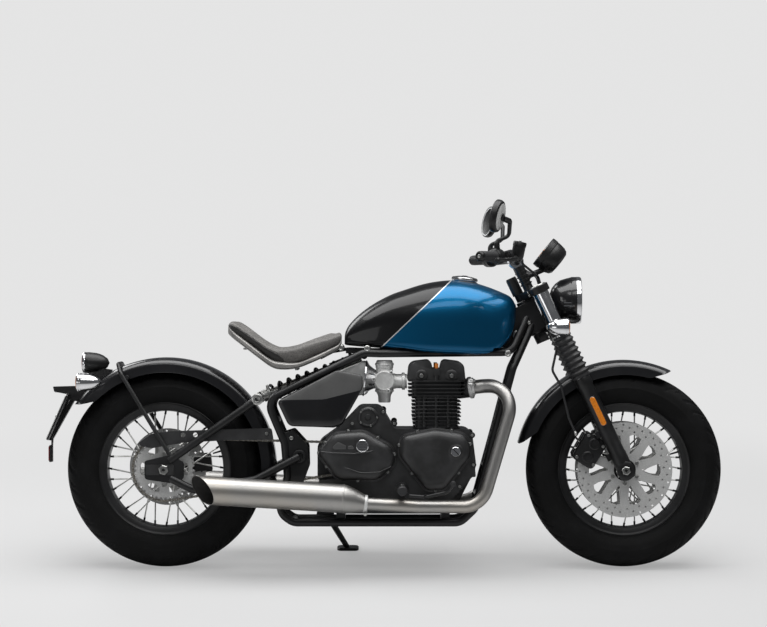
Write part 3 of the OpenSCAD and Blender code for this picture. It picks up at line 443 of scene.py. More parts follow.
def seat_leather():
    """Brown-black hide: pebbled grain, darker in its creases, polished where it is sat on."""
    look = Look("seat_leather", (0.045, 0.042, 0.039), 0.6, Sheen_Weight=0.08)
    grain = look.cells(620.0)
    hide = look.noise(14.0, 4.0, 0.6)
    face = look.mix(look.step(hide, 0.3, 0.75), (0.13, 0.124, 0.117), (0.2, 0.191, 0.18))
    look.set("Base Color", look.mix(look.step(grain, 0.3, 0.8), face, (0.04, 0.038, 0.036)))
    look.set("Roughness", hide * 0.2 + 0.48)
    return look.bump(grain * -1.0 + look.noise(260.0) * 0.6, 0.35, 0.0006)


def painted_shade_leather():
    # a darker copy of the seat leather for the sides below the seam: painted shade
    look = seat_leather()
    look.mat.name = "seat_leather_painted_shade"
    hide = look.noise(18.0, 4.0, 0.6)
    look.set("Base Color", look.mix(hide, (0.014, 0.013, 0.012), (0.024, 0.023, 0.021)))
    return look


def chain_steel():
    look = Look("oiled_chain_steel", (0.25, 0.23, 0.2), 0.4, metal=0.9)
    grime = look.noise(160.0, 4.0)
    look.set("Base Color", look.mix(look.step(grime, 0.4, 0.7), (0.33, 0.31, 0.27), (0.06, 0.055, 0.05)))
    look.set("Roughness", grime * 0.3 + 0.28)
    return look


def dyed_lens(name, color):
    look = Look(name, color, 0.14, coat=1.0, Coat_Roughness=0.03)
    prisms = look.cells(420.0)
    look.set("Base Color", look.mix(prisms, tuple(c * 1.25 for c in color), tuple(c * 0.6 for c in color)))
    return look.bump(prisms, 0.3, 0.0006)


# coated: name, dark, light, roughness, cloud scale, spread, (grain scale, detail, strength, depth)
# grained: name, dark, light, noise scale, detail, roughness, spread, (grain scale, strength, depth)
FINISHES = {"gloss_black": lambda: coated("gloss_black_paint", (0.004, 0.004, 0.005), (0.008, 0.008, 0.009),
    0.32, 6.0, 0.08, (900.0, 2.0, 0.05, 0.0003), coat=0.6, Coat_Roughness=0.06, Specular_IOR_Level=0.3),
    # the facet finish is a lighter, rougher copy of the black paint for the side covers' upper facet: painted
    # light from above
    "facet": lambda: coated("facet_painted_light", (0.045, 0.045, 0.045), (0.062, 0.062, 0.061), 0.5, 9.0, 0.1,
    (1200.0, 2.0, 0.2, 0.0004)), "satin_black": lambda: coated("satin_black_coat", (0.006, 0.006, 0.006),
    (0.012, 0.012, 0.013), 0.38, 14.0, 0.14, (700.0, 2.0, 0.12, 0.0004), Specular_IOR_Level=0.4),
    "engine": lambda: coated("engine_black_coat", (0.013, 0.013, 0.013), (0.027, 0.027, 0.028), 0.42, 18.0,
    0.16, (1300.0, 3.0, 0.25, 0.0005)), "plastic": lambda: coated("moulded_black_plastic",
    (0.016, 0.016, 0.017), (0.028, 0.028, 0.029), 0.48, 20.0, 0.12, (1600.0, 2.0, 0.2, 0.0004)),
    "silver": lambda: coated("cast_aluminium", (0.5, 0.5, 0.49), (0.74, 0.74, 0.73), 0.42, 26.0, 0.2,
    (900.0, 0, 0.25, 0.0004), metal=0.3), "pan": lambda: coated("seat_pan_metal", (0.26, 0.253, 0.242),
    (0.38, 0.37, 0.355), 0.45, 16.0, 0.15, (800.0, 2.0, 0.1, 0.0004), metal=0.6),
    "bright": lambda: grained("polished_metal", (0.62, 0.62, 0.63), (0.8, 0.8, 0.81), 30.0, 3.0, 0.07, 0.1,
    metal=1.0), "zinc": lambda: grained("plated_fasteners", (0.3, 0.3, 0.29), (0.6, 0.6, 0.58), 120.0, 3.0,
    0.22, 0.2, metal=1.0), "disc": lambda: grained("ground_disc_steel", (0.42, 0.42, 0.41),
    (0.7, 0.7, 0.69), 300.0, 2.0, 0.25, 0.2, (0, 0.06, 0.0003), metal=0.35),
    "rubber": lambda: grained("black_rubber", (0.012, 0.012, 0.013), (0.024, 0.024, 0.025), 40.0, 3.0, 0.46,
    0.15, (900.0, 0.15, 0.0004)), "thread": lambda: grained("seat_thread", (0.06, 0.056, 0.052),
    (0.12, 0.113, 0.106), 2500.0, 2.0, 0.8), "plate": lambda: grained("blank_plate", (0.66, 0.66, 0.64),
    (0.74, 0.74, 0.72), 15.0, 3.0, 0.45), "soot": lambda: grained("sooty_bore", (0.006, 0.006, 0.006),
    (0.03, 0.028, 0.026), 60.0, 3.0, 0.9), "orange": lambda: grained("orange_plug", (0.5, 0.14, 0.02),
    (0.62, 0.2, 0.03), 200.0, 2.0, 0.5), "smooth": lambda: grained("machined_panel", (0.1, 0.1, 0.1),
    (0.1, 0.1, 0.1), 200.0, 2.0, 0.28, 0.15, metal=0.5), "clear": lambda: grained("clear_lens",
    (0.9, 0.92, 0.94), (0.9, 0.92, 0.94), 50.0, 2.0, 0.03, 0.04, Transmission_Weight=0.85, IOR=1.45),
    # the mirror glass is near-white and mostly diffuse: painted reflection of bright surroundings, with a
    # weak real gloss
    "mirror": lambda: grained("mirror_glass_painted_reflection", (0.9, 0.91, 0.92), (0.9, 0.91, 0.92), 20.0, 2.0, 0.015, 0.04,
    metal=0.25), "dial": lambda: grained("dial_face", (0.015, 0.015, 0.017), (0.03, 0.03, 0.033), 200.0,
    2.0, 0.3, coat=1.0), "marks": lambda: grained("dial_marks", (0.7, 0.7, 0.69), (0.8, 0.8, 0.79), 300.0,
    2.0, 0.5), "tank": tank_paint, "brushed": brushed_steel, "tyre": tyre_rubber, "leather": seat_leather,
    "leather_dark": painted_shade_leather, "chain": chain_steel, "amber": lambda: dyed_lens("amber_lens",
    (0.75, 0.22, 0.01)), "red": lambda: dyed_lens("red_lens", (0.35, 0.006, 0.008)),}
made_finishes = {}


def material(key):
    """A finish by name, made once."""
    if key not in made_finishes:
        made_finishes[key] = FINISHES[key]().mat
    return made_finishes[key]


class BobberSizes(bpy.types.PropertyGroup):
    seat_puff: bpy.props.FloatProperty(name="Seat pressure",
        description="How hard the seat's padding is blown up", default=4.0, min=0.0)
    seat_voxel: bpy.props.FloatProperty(name="Seat mesh size", description="Size of the seat's cloth mesh",
        default=0.006, min=0.003, unit="LENGTH", subtype="DISTANCE")
    tread_depth: bpy.props.FloatProperty(name="Tread depth", description="Depth of the tyres' grooves",
        default=0.004, min=0.0, unit="LENGTH", subtype="DISTANCE")
    floor_size: bpy.props.FloatProperty(name="Floor size", description="Width of the studio floor",
        default=60.0, min=10.0, unit="LENGTH", subtype="DISTANCE")
    camera_distance: bpy.props.FloatProperty(name="Camera distance",
        description="How far the camera stands from the machine's side", default=10.5, min=3.0,
        unit="LENGTH", subtype="DISTANCE")


class BobberColors(bpy.types.PropertyGroup):
    tank_blue: bpy.props.FloatVectorProperty(name="Tank blue",
        description="Metallic blue of the tank's front part", default=(0.0, 0.055, 0.125), min=0, max=1,
        subtype="COLOR", size=3)
    backdrop: bpy.props.FloatVectorProperty(name="Backdrop",
        description="Colour the camera sees behind the machine", default=(0.78, 0.78, 0.78), min=0, max=1,
        subtype="COLOR", size=3)
    floor: bpy.props.FloatVectorProperty(name="Floor", description="Colour of the studio floor",
        default=(0.56, 0.56, 0.56), min=0, max=1, subtype="COLOR", size=3)


class Step(bpy.types.Operator):
    """Base of the building steps"""
    bl_options = {"REGISTER", "UNDO"}

    def execute(self, context):
        self.build(context.scene.bobber_sizes)
        return {"FINISHED"}


class WheelStep:
    """What the two wheels have in common."""
    front = (FRONT_AXLE, FRONT_R, 65, 38, 44, 34, 71.5, 34, "front_wheel")
    rear = (REAR_AXLE, REAR_R, 75, 50, 42, 40, 99, 36, "rear_wheel")


def arc(centre, r, a0, a1, count):
    """Points on an arc, in (radius, height), angles in degrees from the outward radius."""
    return [(centre[0] + r * cos(radians(a0 + (a1 - a0) * k / count)),
        centre[1] + r * sin(radians(a0 + (a1 - a0) * k / count))) for k in range(count + 1)]


class BOBBER_OT_tyres(Step):
    """Tyres with grooved treads, each one skin round the wheel"""
    bl_idname = "bobber.tyres"
    bl_label = "Tyres"

    def tyre(self, sizes, name, wheel):
        centre, r, half, rim, _, _, _, _, body = wheel
        deep = sizes.tread_depth * 1000
        count = 432
        shape = Shape()
        top = arc((r - CROWN_R, 0), CROWN_R, -50, 50, 50)
        edge = top[-1]
        wall = []
        ends = [(edge[0], edge[1]), (BEAD_R + 46, half + 11), (BEAD_R + 11, rim + 6)]
        for k in range(1, 13):
            t = k / 12
            wall.append(tuple((1 - t) ** 2 * ends[0][i] + 2 * t * (1 - t) * ends[1][i] + t * t * ends[2][i]
                for i in (0, 1)))
        # raised line near the bead and a shoulder line
        wall = [(x + (0.6 if k in (3, 9) else 0), y + (1.2 if k in (3, 9) else 0))
            for k, (x, y) in enumerate(wall)]
        inner = [(BEAD_R + 8, rim), (BEAD_R + 2, rim - 3), (BEAD_R + 2, -rim + 3), (BEAD_R + 8, -rim)]
        low = [(x, -y) for x, y in reversed(wall)]
        profile = low + top + wall + inner
        rows = []
        for k in range(count):
            a = tau * k / count
            row = []
            for i, (pr, py) in enumerate(profile):
                if len(low) <= i < len(low) + len(top):
                    row.append((pr - self.groove(k, py, half) * deep, py))
                else:
                    row.append((pr, py))
            x, z = cos(a), sin(a)
            rows.append([centre + vec(x * pr, py, z * pr) for pr, py in row])
        shape.skin(rows, loop=True)
        dress(name, shape, "tyre", "tyre", body, sharp=24)

    def groove(self, k, y, half):
        """1 in a groove and 0 on the tread, by place round the tyre and across it."""
        across = abs(y)
        beat = 27
        u = (k % beat) / beat
        if across < 3.4:
            return 0.9
        sweep = (across - 8) / (half - 14)
        if 0 < sweep < 1:
            lead = 0.2 + 0.5 * sweep
            gap = abs((u - lead if y > 0 else (u + 0.5) % 1 - lead))
            if gap < 0.075 and sweep < 0.92:
                return 1.0
            if 0.45 < sweep < 1 and abs(gap - 0.42) < 0.05:
                return 0.8
        return 0.0

    def build(self, sizes):
        self.tyre(sizes, "front_tyre", WheelStep.front)
        self.tyre(sizes, "rear_tyre", WheelStep.rear)


class BOBBER_OT_wheels(Step):
    """Rims, hubs, crossed spokes and nipples"""
    bl_idname = "bobber.wheels"
    bl_label = "Spoked wheels"

    def wheel(self, name, wheel):
        centre, _, _, rim, flange_r, flange_y, hub_half, boss, body = wheel
        lip = rim + 6
        shape = Shape()
        outer = [(189, -rim + 14), (191, -rim + 3), (200, -rim - 1), (206, -rim - 2), (213, -lip + 2),
            (215, -lip), (217, -lip + 1), (217, -lip + 4), (208, -rim + 3), (206, -rim + 6),
            (200, -rim + 22), (196, -rim + 30)]
        outer += [(r, -y) for r, y in reversed(outer)]
        inside = [(189, rim - 18), (187, 8), (187, -8), (189, -rim + 18)]
        shape.lathe(outer + inside, centre, SIDE, 120, 0, closed=True)
        hub = [(boss - 12, -hub_half), (boss - 4, -hub_half), (boss, -hub_half + 4), (boss, -flange_y - 7),
            (flange_r, -flange_y - 4), (flange_r + 1, -flange_y), (flange_r, -flange_y + 4),
            (boss - 6, -flange_y + 12), (boss - 9, 0)]
        hub += [(r, -y) for r, y in reversed(hub[:-1])]
        shape.lathe([(11, -hub_half)] + hub + [(11, hub_half)], centre, SIDE, 56, 1, closed=True)
        for k in range(32):
            side = 1 if k % 2 else -1
            a = tau * k / 32
            lead = radians(74) * (1 if k % 4 < 2 else -1)
            reach = flange_r - 4.5
            flare = side * (flange_y + (1.5 if k % 4 < 2 else -1.5))
            low = centre + vec(reach * cos(a + lead), flare, reach * sin(a + lead))
            high = centre + vec(191 * cos(a), side * 6, 191 * sin(a))
            way = (high - low).normalized()
            shape.tube([low, high], 2.4, 8, 2)
            shape.rod(high - way * 15, high - way * 1, 3.6, 8, 1, r2=3.0)
            shape.rod(low - side * 2 * SIDE, low + side * 2 * SIDE, 3.4, 8, 2)
        # tyre valve
        shape.rod(centre + vec(188 * cos(0.3), 4, 188 * sin(0.3)), centre
            + vec(160 * cos(0.3), 8, 160 * sin(0.3)), 3.4, 12, 3, r2=2.6)
        dress(name, shape, "satin_black satin_black zinc rubber", "black_frame", body)

    def build(self, sizes):
        self.wheel("front_rim", WheelStep.front)
        self.wheel("rear_rim", WheelStep.rear)


class BOBBER_OT_brakes(Step):
    """Brake discs with their windows, drilled bands and bolts"""
    bl_idname = "bobber.brakes"
    bl_label = "Brakes"

    def disc(self, shape, centre, y, outer, inner, seat, windows):
        """One flat disc: windows between hub and band, a drilled band and hub bolts."""
        side = 1 if y > 0 else -1
        holes = [circle(seat, 48)]
        for k in range(windows):
            a = tau * k / windows
            low, high = seat + 20, inner - 2
            deep = high - low
            holes.append(polar([(low, -3), (low + deep * 0.3, -8), (low + deep * 0.65, -11),
                (high - 4, -10), (high, -4), (high, 5), (high - 6, 10), (low + deep * 0.6, 8),
                (low + deep * 0.25, 3), (low, 2)], a))
            for r, lead in ((inner + 8, 0.1), (inner + 19, 0.32), (outer - 8, 0.55), (inner + 8, 0.6),
                    (inner + 19, 0.82), (outer - 8, 1.05)):
                spot = a + tau * lead / windows
                holes.append(circle(3.2, 8, (r * cos(spot), r * sin(spot))))
        holed(shape, circle(outer, 96), holes, y - 2.4, y + 2.4, 0, (centre.x, centre.z))
        for k in range(6):
            a = tau * (k + 0.5) / 6
            shape.bolt(centre + vec(cos(a), 0, sin(a)) * (seat + 9) + (y + side * 2) * SIDE, SIDE * side,
                6.5, 1)

    def build(self, sizes):
        front = Shape()
        for y in (69, -69):
            self.disc(front, FRONT_AXLE, y, 155, 119, 36, 10)
        dress("front_discs", front, "disc zinc", "steel", "front_wheel")
        rear = Shape()
        self.disc(rear, REAR_AXLE, 92, 127, 93, 36, 8)
        dress("rear_disc", rear, "disc zinc", "steel", "rear_wheel")


def between(rows, count):
    """The same rows with count smooth steps from each to the next."""
    made = []
    last = len(rows) - 1
    for i in range(last):
        a, b, c, d = (rows[max(0, min(last, i + k))] for k in (-1, 0, 1, 2))
        for k in range(count):
            t = k / count
            made.append(tuple(0.5 * (2 * q + (r - p) * t + (2 * p - 5 * q + 4 * r - s) * t * t
                + (3 * q - p - 3 * r + s) * t ** 3) for p, q, r, s in zip(a, b, c, d)))
    return made + [rows[-1]]


def bent(value, power):
    """A power that keeps the sign."""
    return copysign(abs(value) ** power, value)


def line_at(points, x):
    """The height at x of a line through (x, height) points."""
    for (xa, za), (xb, zb) in zip(points, points[1:]):
        if xa <= x <= xb:
            return za + (zb - za) * (x - xa) / (xb - xa)
    return points[0][1] if x < points[0][0] else points[-1][1]


class BOBBER_OT_tank(Step):
    """Fuel tank with its lower lip, and the filler cap"""
    bl_idname = "bobber.tank"
    bl_label = "Fuel tank"

    # back to front: x, bottom, top, share of the half width
    rows = [(586, 730, 758, 0.42), (590, 727, 774, 0.49), (604, 725, 797, 0.55), (636, 722, 829, 0.63),
        (680, 719, 861, 0.72), (734, 714, 890, 0.81), (784, 708, 908, 0.88), (846, 700, 927, 0.95),
        (904, 696, 937, 0.99), (960, 694, 939, 1), (1010, 692, 931, 0.97), (1050, 692, 919, 0.91),
        (1080, 699, 908, 0.84), (1106, 724, 897, 0.74), (1126, 750, 887, 0.62), (1138, 780, 874, 0.47),
        (1145, 812, 860, 0.28), (1148, 832, 850, 0.12)]
    half = 136
    cap = vec(978, 0, 930)

    def ring(self, row, n=96):
        x, low, high, share = row
        mid, reach = low + (high - low) * 0.42, share * self.half
        made = []
        for k in range(n):
            a = tau * k / n
            c, s = cos(a), sin(a)
            y = reach * bent(c, 0.82 if s > 0 else 0.25)
            z = mid + ((high - mid) * bent(s, 0.86) if s > 0 else (mid - low) * bent(s, 0.3))
            # rolled lip round the lower edge
            lip = max(0.0, 1 - abs(z - low - 9) / 6.5) if abs(y) > 0.62 * reach else 0
            y += copysign(2.6 * min(1, 2 * lip), y)
            if abs(y) < 38:
                z = max(z, line_at([(560, 742), (700, 748), (900, 786), (1080, 830), (1200, 890)], x))
            elif abs(y) < 114:
                z = max(z, line_at([(560, 718), (1100, 718), (1142, 740), (1200, 840)], x))
            made.append(vec(x, y, min(z, high)))
        return made

    def build(self, sizes):
        tank = Shape().skin([self.ring(row) for row in between(self.rows, 4)])
        dress("fuel_tank", tank, "tank", "tank_paint", sharp=50)
        up = vec(sin(radians(6)), 0, cos(radians(6)))
        cap = Shape()
        # the black rubber ring under the cap stands for the dark gap below it: painted shade
        cap.lathe([(45, -4), (46, 2), (44, 4), (38, 5)], self.cap, up, 64, 1)
        cap.lathe([(40, 4), (41, 7), (42, 9), (42, 16), (40, 18), (37, 19), (36, 18.4), (30, 20.4),
            (20, 22.2), (8, 23)], self.cap, up, 72, 0)
        for k in range(48):
            a = tau * k / 48
            out = vec(cos(a), sin(a), 0)
            out = (out - up * out.dot(up)).normalized()
            cap.rod(self.cap + out * 41.8 + up * 9, self.cap + out * 41.8 + up * 15.5, 1.1, 6)
        cap.lathe([(9, 22), (9, 24), (7.5, 24.6)], self.cap, up, 24, 2)
        make("filler_cap", cap, "bright rubber zinc", "chassis", slot="bright_metal")


class BOBBER_OT_seat(Step):
    """Padded seat blown up as cloth, its stitched seams and its pan"""
    bl_idname = "bobber.seat"
    bl_label = "Seat"

    # back to front: x, bottom, top, share of the half width, dish
    rows = [(206, 778, 802, 0.48, 0), (214, 770, 810, 0.66, 0), (230, 757, 811, 0.82, 2),
        (262, 733, 793, 0.94, 8), (308, 698, 760, 1, 12), (346, 671, 738, 1, 16), (378, 662, 729, 0.97, 18),
        (430, 666, 737, 0.88, 16), (490, 689, 755, 0.76, 10), (540, 713, 768, 0.66, 4),
        (566, 727, 775, 0.58, 0), (575, 742, 768, 0.48, 0)]
    half = 124
    seam_line = [(206, 793), (240, 785), (300, 742), (340, 713), (372, 696), (390, 676), (397, 664)]

    def ring(self, row, n=64, inset=0.0):
        x, low, high, share, dish = row
        mid, reach = (low + high) / 2, share * self.half - inset
        tall = (high - low) / 2 - inset
        made = []
        for k in range(n):
            a = tau * k / n
            c, s = cos(a), sin(a)
            y = reach * bent(c, 0.7)
            made.append(Vector((x, y, mid + tall * bent(s, 0.55) - (dish * (1
                - (y / reach) ** 2) if s > 0 else 0))))
        return made

    def puff(self, obj, sizes):
        """Blows the pad up against its own cloth, within a few millimetres of where it was."""
        context = bpy.context
        context.view_layer.objects.active = obj
        obj.select_set(True)
        remesh = obj.modifiers.new("even", "REMESH")
        remesh.mode, remesh.voxel_size = "VOXEL", sizes.seat_voxel
        bpy.ops.object.modifier_apply(modifier="even")
        start = [v.co.copy() for v in obj.data.vertices]
        cloth = obj.modifiers.new("swell", "CLOTH")
        cloth.settings.use_pressure = True
        cloth.settings.uniform_pressure_force = sizes.seat_puff
        cloth.settings.effector_weights.gravity = 0
        cloth.settings.quality = 5
        cloth.point_cache.frame_start, cloth.point_cache.frame_end = 1, 20
        for frame in range(1, 21):
            context.scene.frame_set(frame)
        made = obj.evaluated_get(context.evaluated_depsgraph_get()).data
        moved = [v.co.copy() for v in made.vertices]
        obj.modifiers.remove(cloth)
        context.scene.frame_set(1)
        for v, a, b in zip(obj.data.vertices, start, moved):
            step = b - a
            limit = 0.005
            v.co = a + (step if step.length < limit else step.normalized() * limit)
        obj.select_set(False)

    def build(self, sizes):
        rows = between(self.rows, 4)
        pad = make("seat_pad", Shape().skin([self.ring(r, inset=2.5) for r in rows]), "leather", "chassis",
            ["seat"], "seat_cover", sharp=180)
        self.puff(pad, sizes)
        soft = pad.modifiers.new("soft", "SUBSURF")
        soft.levels = soft.render_levels = 1
        pad.data.shade_smooth()
        self.paint_shade_on_sides(pad)
        self.seams(pad)
        self.pan(rows)

    def paint_shade_on_sides(self, pad):
        """The rear sides below the seam get a darker copy of the leather: painted shade."""
        pad.data.materials.append(material("leather_dark"))
        home = PARK.inverted()
        for face in pad.data.polygons:
            p = home @ face.center
            if p.x < 397 and p.z < line_at(self.seam_line, p.x):
                face.material_index = 1

    def seams(self, pad):
        """Piping along the seam and a line of stitches beside it, laid on the pad's surface."""
        shape = Shape()
        graph = bpy.context.evaluated_depsgraph_get()
        skin = pad.evaluated_get(graph)
        home = PARK.inverted()
        wide = [(r[0], r[3]) for r in self.rows]
        for side in (1, -1):
            path = []
            steps = 70
            for k in range(steps + 1):
                x = 209 + (395 - 209) * k / steps
                z = line_at(self.seam_line, x)
                y = side * (self.half * line_at(wide, x) + 20)
                found, spot, _, _ = skin.closest_point_on_mesh(PARK @ vec(x, y, z))
                if found:
                    path.append(home @ spot)
            smooth = [sum((path[max(0, min(len(path) - 1, i + d))] for d in (-2, -1, 0, 1, 2)),
                Vector()) / 5 for i in range(len(path))]
            shape.tube(smooth, 1.9, 8, 0)
            for i in range(1, len(smooth) - 2):
                lift = vec(0, side * 1.2, 6.5)
                a, b = smooth[i] + lift, smooth[i].lerp(smooth[i + 1], 0.6) + lift
                spots = [skin.closest_point_on_mesh(PARK @ p)[1] for p in (a, b)]
                shape.rod(home @ spots[0], home @ spots[1], 0.8, 6, 1)
        # the piping takes the darker copy of the leather, which is painted shade
        make("seat_seams", shape, "leather_dark thread", "chassis", slot="seat_cover")

    def pan(self, rows):
        shape = Shape()
        rings = []
        for x, low, _, share, _ in rows:
            # the lip stands higher at the back than along the nose
            reach, lip = share * self.half + 4, 13 - 9 * min(1, max(0, (x - 380) / 60))
            tall = 7.5 + lip / 2
            rings.append([(x, reach * bent(cos(a), 0.4), low - 15 + tall * (1 + bent(sin(a), 0.5)))
                for a in (tau * k / 40 for k in range(40))])
        shape.skin(rings)
        for x, side in ((262, 1), (262, -1), (430, 1), (430, -1)):
            low = line_at([(r[0], r[1]) for r in self.rows], x)
            shape.bolt((x, side * 70, low - 15), (0, 0, -1), 6, 2)
        shape.plate([(500, 684), (548, 714), (600, 719), (686, 716), (686, 709), (672, 709), (668, 703.5),
            (641, 703.5), (636, 709), (600, 709), (548, 700), (510, 680)], -20, 20, 1)
        dress("seat_pan", shape, "pan satin_black zinc", "pan_metal", bevel=0.8)


class BOBBER_OT_fenders(Step):
    """Fenders: thin crowned channels with rolled edges and pointed tips"""
    bl_idname = "bobber.fenders"
    bl_label = "Fenders"

    def channel(self, r, half, depth, steps=8):
        """The outer section from the left edge over the crown to the right, as (radius, y)."""
        side = [(r - depth, half)] + [(r - 24 + 24 * cos(a), half - 46 + 46 * sin(a))
            for a in (pi / 2 * (steps - k) / steps for k in range(steps + 1))]
        crown = [(r, (half - 46) * k / 4) for k in range(3, -4, -1)]
        return side + crown + [(pr, -py) for pr, py in reversed(side)]

    def one(self, centre, r, half, a0, a1, tips):
        """A fender from angle a0 to a1. tips are (angle, degrees over which the end narrows)."""
        depth = 46
        shape = Shape()
        rings = []
        steps = int(abs(a1 - a0))
        for k in range(steps + 1):
            a = a0 + (a1 - a0) * k / steps
            way = Vector((cos(radians(a)), 0, sin(radians(a))))
            keep = 1.0
            for end, length in tips:
                keep = min(keep, abs(a - end) / length)
            cut = r - depth * max(0.0, keep) ** 0.7 - 1.5
            outer = [(max(pr, cut), py) for pr, py in self.channel(r, half, depth)]
            inner = [(max(pr - 3.2, cut - 0.4), py * (1 - 3.0 / half)) for pr, py in reversed(outer)]
            edge_l = [(outer[-1][0] - 2.2, outer[-1][1] * 1.008)]
            edge_r = [(outer[0][0] - 2.2, outer[0][1] * 1.008)]
            rings.append([centre + way * pr + SIDE * py for pr, py in outer + edge_l + inner + edge_r])
        shape.skin(rings)
        return shape

    def build(self, sizes):
        front = self.one(FRONT_AXLE, 358, 68, 65, 166, ((65, 10), (166, 10)))
        for side in (1, -1):
            for t, o in ((296, 12), (326, -12)):
                out = FRONT_AXLE + FORK_U * (t + 4) + FORK_N * o
                front.bolt(out + SIDE * side * 64, SIDE * side, 5, 1)
            front.box(FRONT_AXLE + FORK_U * 313 + SIDE * side * 72, (30, 12, 32), 0, FORK_TURN)
        dress("front_fender", front, "gloss_black zinc", "black_paint", "steering", sharp=50)
        rear = self.one(REAR_AXLE, 363, 86, -8, 144, ((144, 9),))
        dress("rear_fender", rear, "gloss_black zinc", "black_paint", sharp=50)


class BOBBER_OT_side_covers(Step):
    """Side covers with a crease; the upper facet above it gets a lighter copy of the paint: painted light
    from above
    """
    bl_idname = "bobber.side_covers"
    bl_label = "Side covers"
    rows = [(368, 545, 12), (562, 646, 24), (646, 630, 14), (646, 588, 24), (578, 468, 24), (552, 460, 16),
        (406, 465, 24)]

    def build(self, sizes):
        shape = Shape()
        rim = outline(self.rows, 6)
        mid = (520, 552)
        rings = []
        # from the inner edge out over the rounded rim; two planes meet at the crease
        for out, share in ((0, 1.0), (9, 1.0), (15, 0.992), (19, 0.975), (21, 0.95), (22.5, 0.9), (23, 0.7),
                (23, 0.45), (23, 0.2), (23, 0.02)):
            ring = []
            for x, z in grown(rim, mid, share):
                lean = 0.72 * min(1, (z - 546) / 100) if z > 546 else 0.3 * (546 - z) / 86
                ring.append((x, 131.5 + out * (1 - lean), z))
            rings.append(ring)
        shape.skin(rings)
        shape.rod((600, 88.3, 620), (600, 132, 620), 8, 20, 1)
        shape.mirrored()
        obj = dress("side_covers", shape, "gloss_black satin_black facet", "black_paint", sharp=30)
        # faces of the upper facet take the lighter copy of the paint: painted light from above
        home = PARK.inverted()
        for face in obj.data.polygons:
            spot = home @ face.center
            if spot.z > 553 and abs(spot.y) > 137:
                face.material_index = 2


class BOBBER_OT_exhaust(Step):
    """Headers with their clamps and slash-cut silencers, dark inside"""
    bl_idname = "bobber.exhaust"
    bl_label = "Exhaust"
    route = [(992.4, 73, 586), (1040.4, 84, 592), (1146, 150, 594), (1030, 171, 206), (830, 172, 206),
        (660, 184, 216)]
    front = vec(585, 193, 233)
    rear = vec(130, 193, 260)

    def build(self, sizes):
        pipe = Shape().tube(rounded(self.route, 80, 16), 21, 36)
        way = (Vector(self.route[1]) - Vector(self.route[0])).normalized()
        port = Vector(self.route[0])
        # flange with two studs at the port
        pipe.lathe([(22, 2), (33, 2), (34, 4), (34, 11), (31, 13), (24, 15), (22, 20)], port, way, 40, 1)
        for turn in (0.6, pi + 0.6):
            spot = port + way * 4 + 38 * (SIDE * cos(turn) + vec(0, 0, 1) * sin(turn))
            pipe.rod(spot - way * 8, spot + way * 14, 5, 12, 1)
            pipe.rod(spot + way * 8, spot + way * 15, 8, 6, 2)
            pipe.rod(spot + way * 2, port + way * 8, 11, 16, 1)
        pipe.mirrored()
        dress("header_pipes", pipe, "brushed silver zinc", "brushed_pipe")
        self.silencers()

    def silencers(self):
        d = (self.rear - self.front).normalized()
        shape = Shape()
        # body: a tube whose rear end is cut by a slanting plane
        out = (d.cross(vec(0, 0, 1))).normalized()
        up = out.cross(d).normalized()
        facing = (Matrix.Rotation(radians(-34), 3, "Z") @ Matrix.Rotation(radians(-20), 3, "Y") @ vec(-1, 0,
            0))
        n = 56

        def ring(centre, r, cut=False):
            made = []
            for k in range(n):
                a = tau * k / n
                p = centre + r * (out * cos(a) + up * sin(a))
                if cut:
                    p = p + d * (self.rear - p).dot(facing) / d.dot(facing)
                made.append(p)
            return made

        start = vec(662, 184, 216)
        body = [ring(start, 25), ring(start + d * 6, 26.5), ring(start + (self.front - start) * 0.5, 38),
            ring(start + (self.front - start) * 0.86, 45.2), ring(self.front, 46)]
        body += [ring(self.front + d * t, 46) for t in (4, 5, 60, 200, 340)]
        body += [ring(self.rear, 46, True), ring(self.rear, 44.6, True)]
        shape.skin(body, 0, caps=False)
        inner = [ring(self.rear, 44.6, True), ring(self.rear - d * 40, 43, False),
            ring(self.rear - d * 120, 43), ring(self.rear - d * 121, 12), ring(self.rear - d * 60, 11),
            ring(self.rear - d * 60, 9), ring(self.rear - d * 110, 9), ring(self.rear - d * 110, 0.1)]
        shape.skin(inner, 1, caps=False)
        # clamp band and weld ring at the front, and the hanger
        shape.lathe([(26.5, -2), (28.5, 0), (28.5, 13), (26.5, 15)], start + d * 2, d, 40, 2)
        shape.rod(start + d * 8 + vec(0, 0, -30), start + d * 8 + vec(0, 20, -34), 5, 12, 3)
        shape.lathe([(46, -2), (47, 0), (47, 2), (46, 4)], self.front, d, 56, 0)
        shape.mirrored()
        dress("silencers", shape, "brushed soot silver zinc", "brushed_pipe", sharp=40)


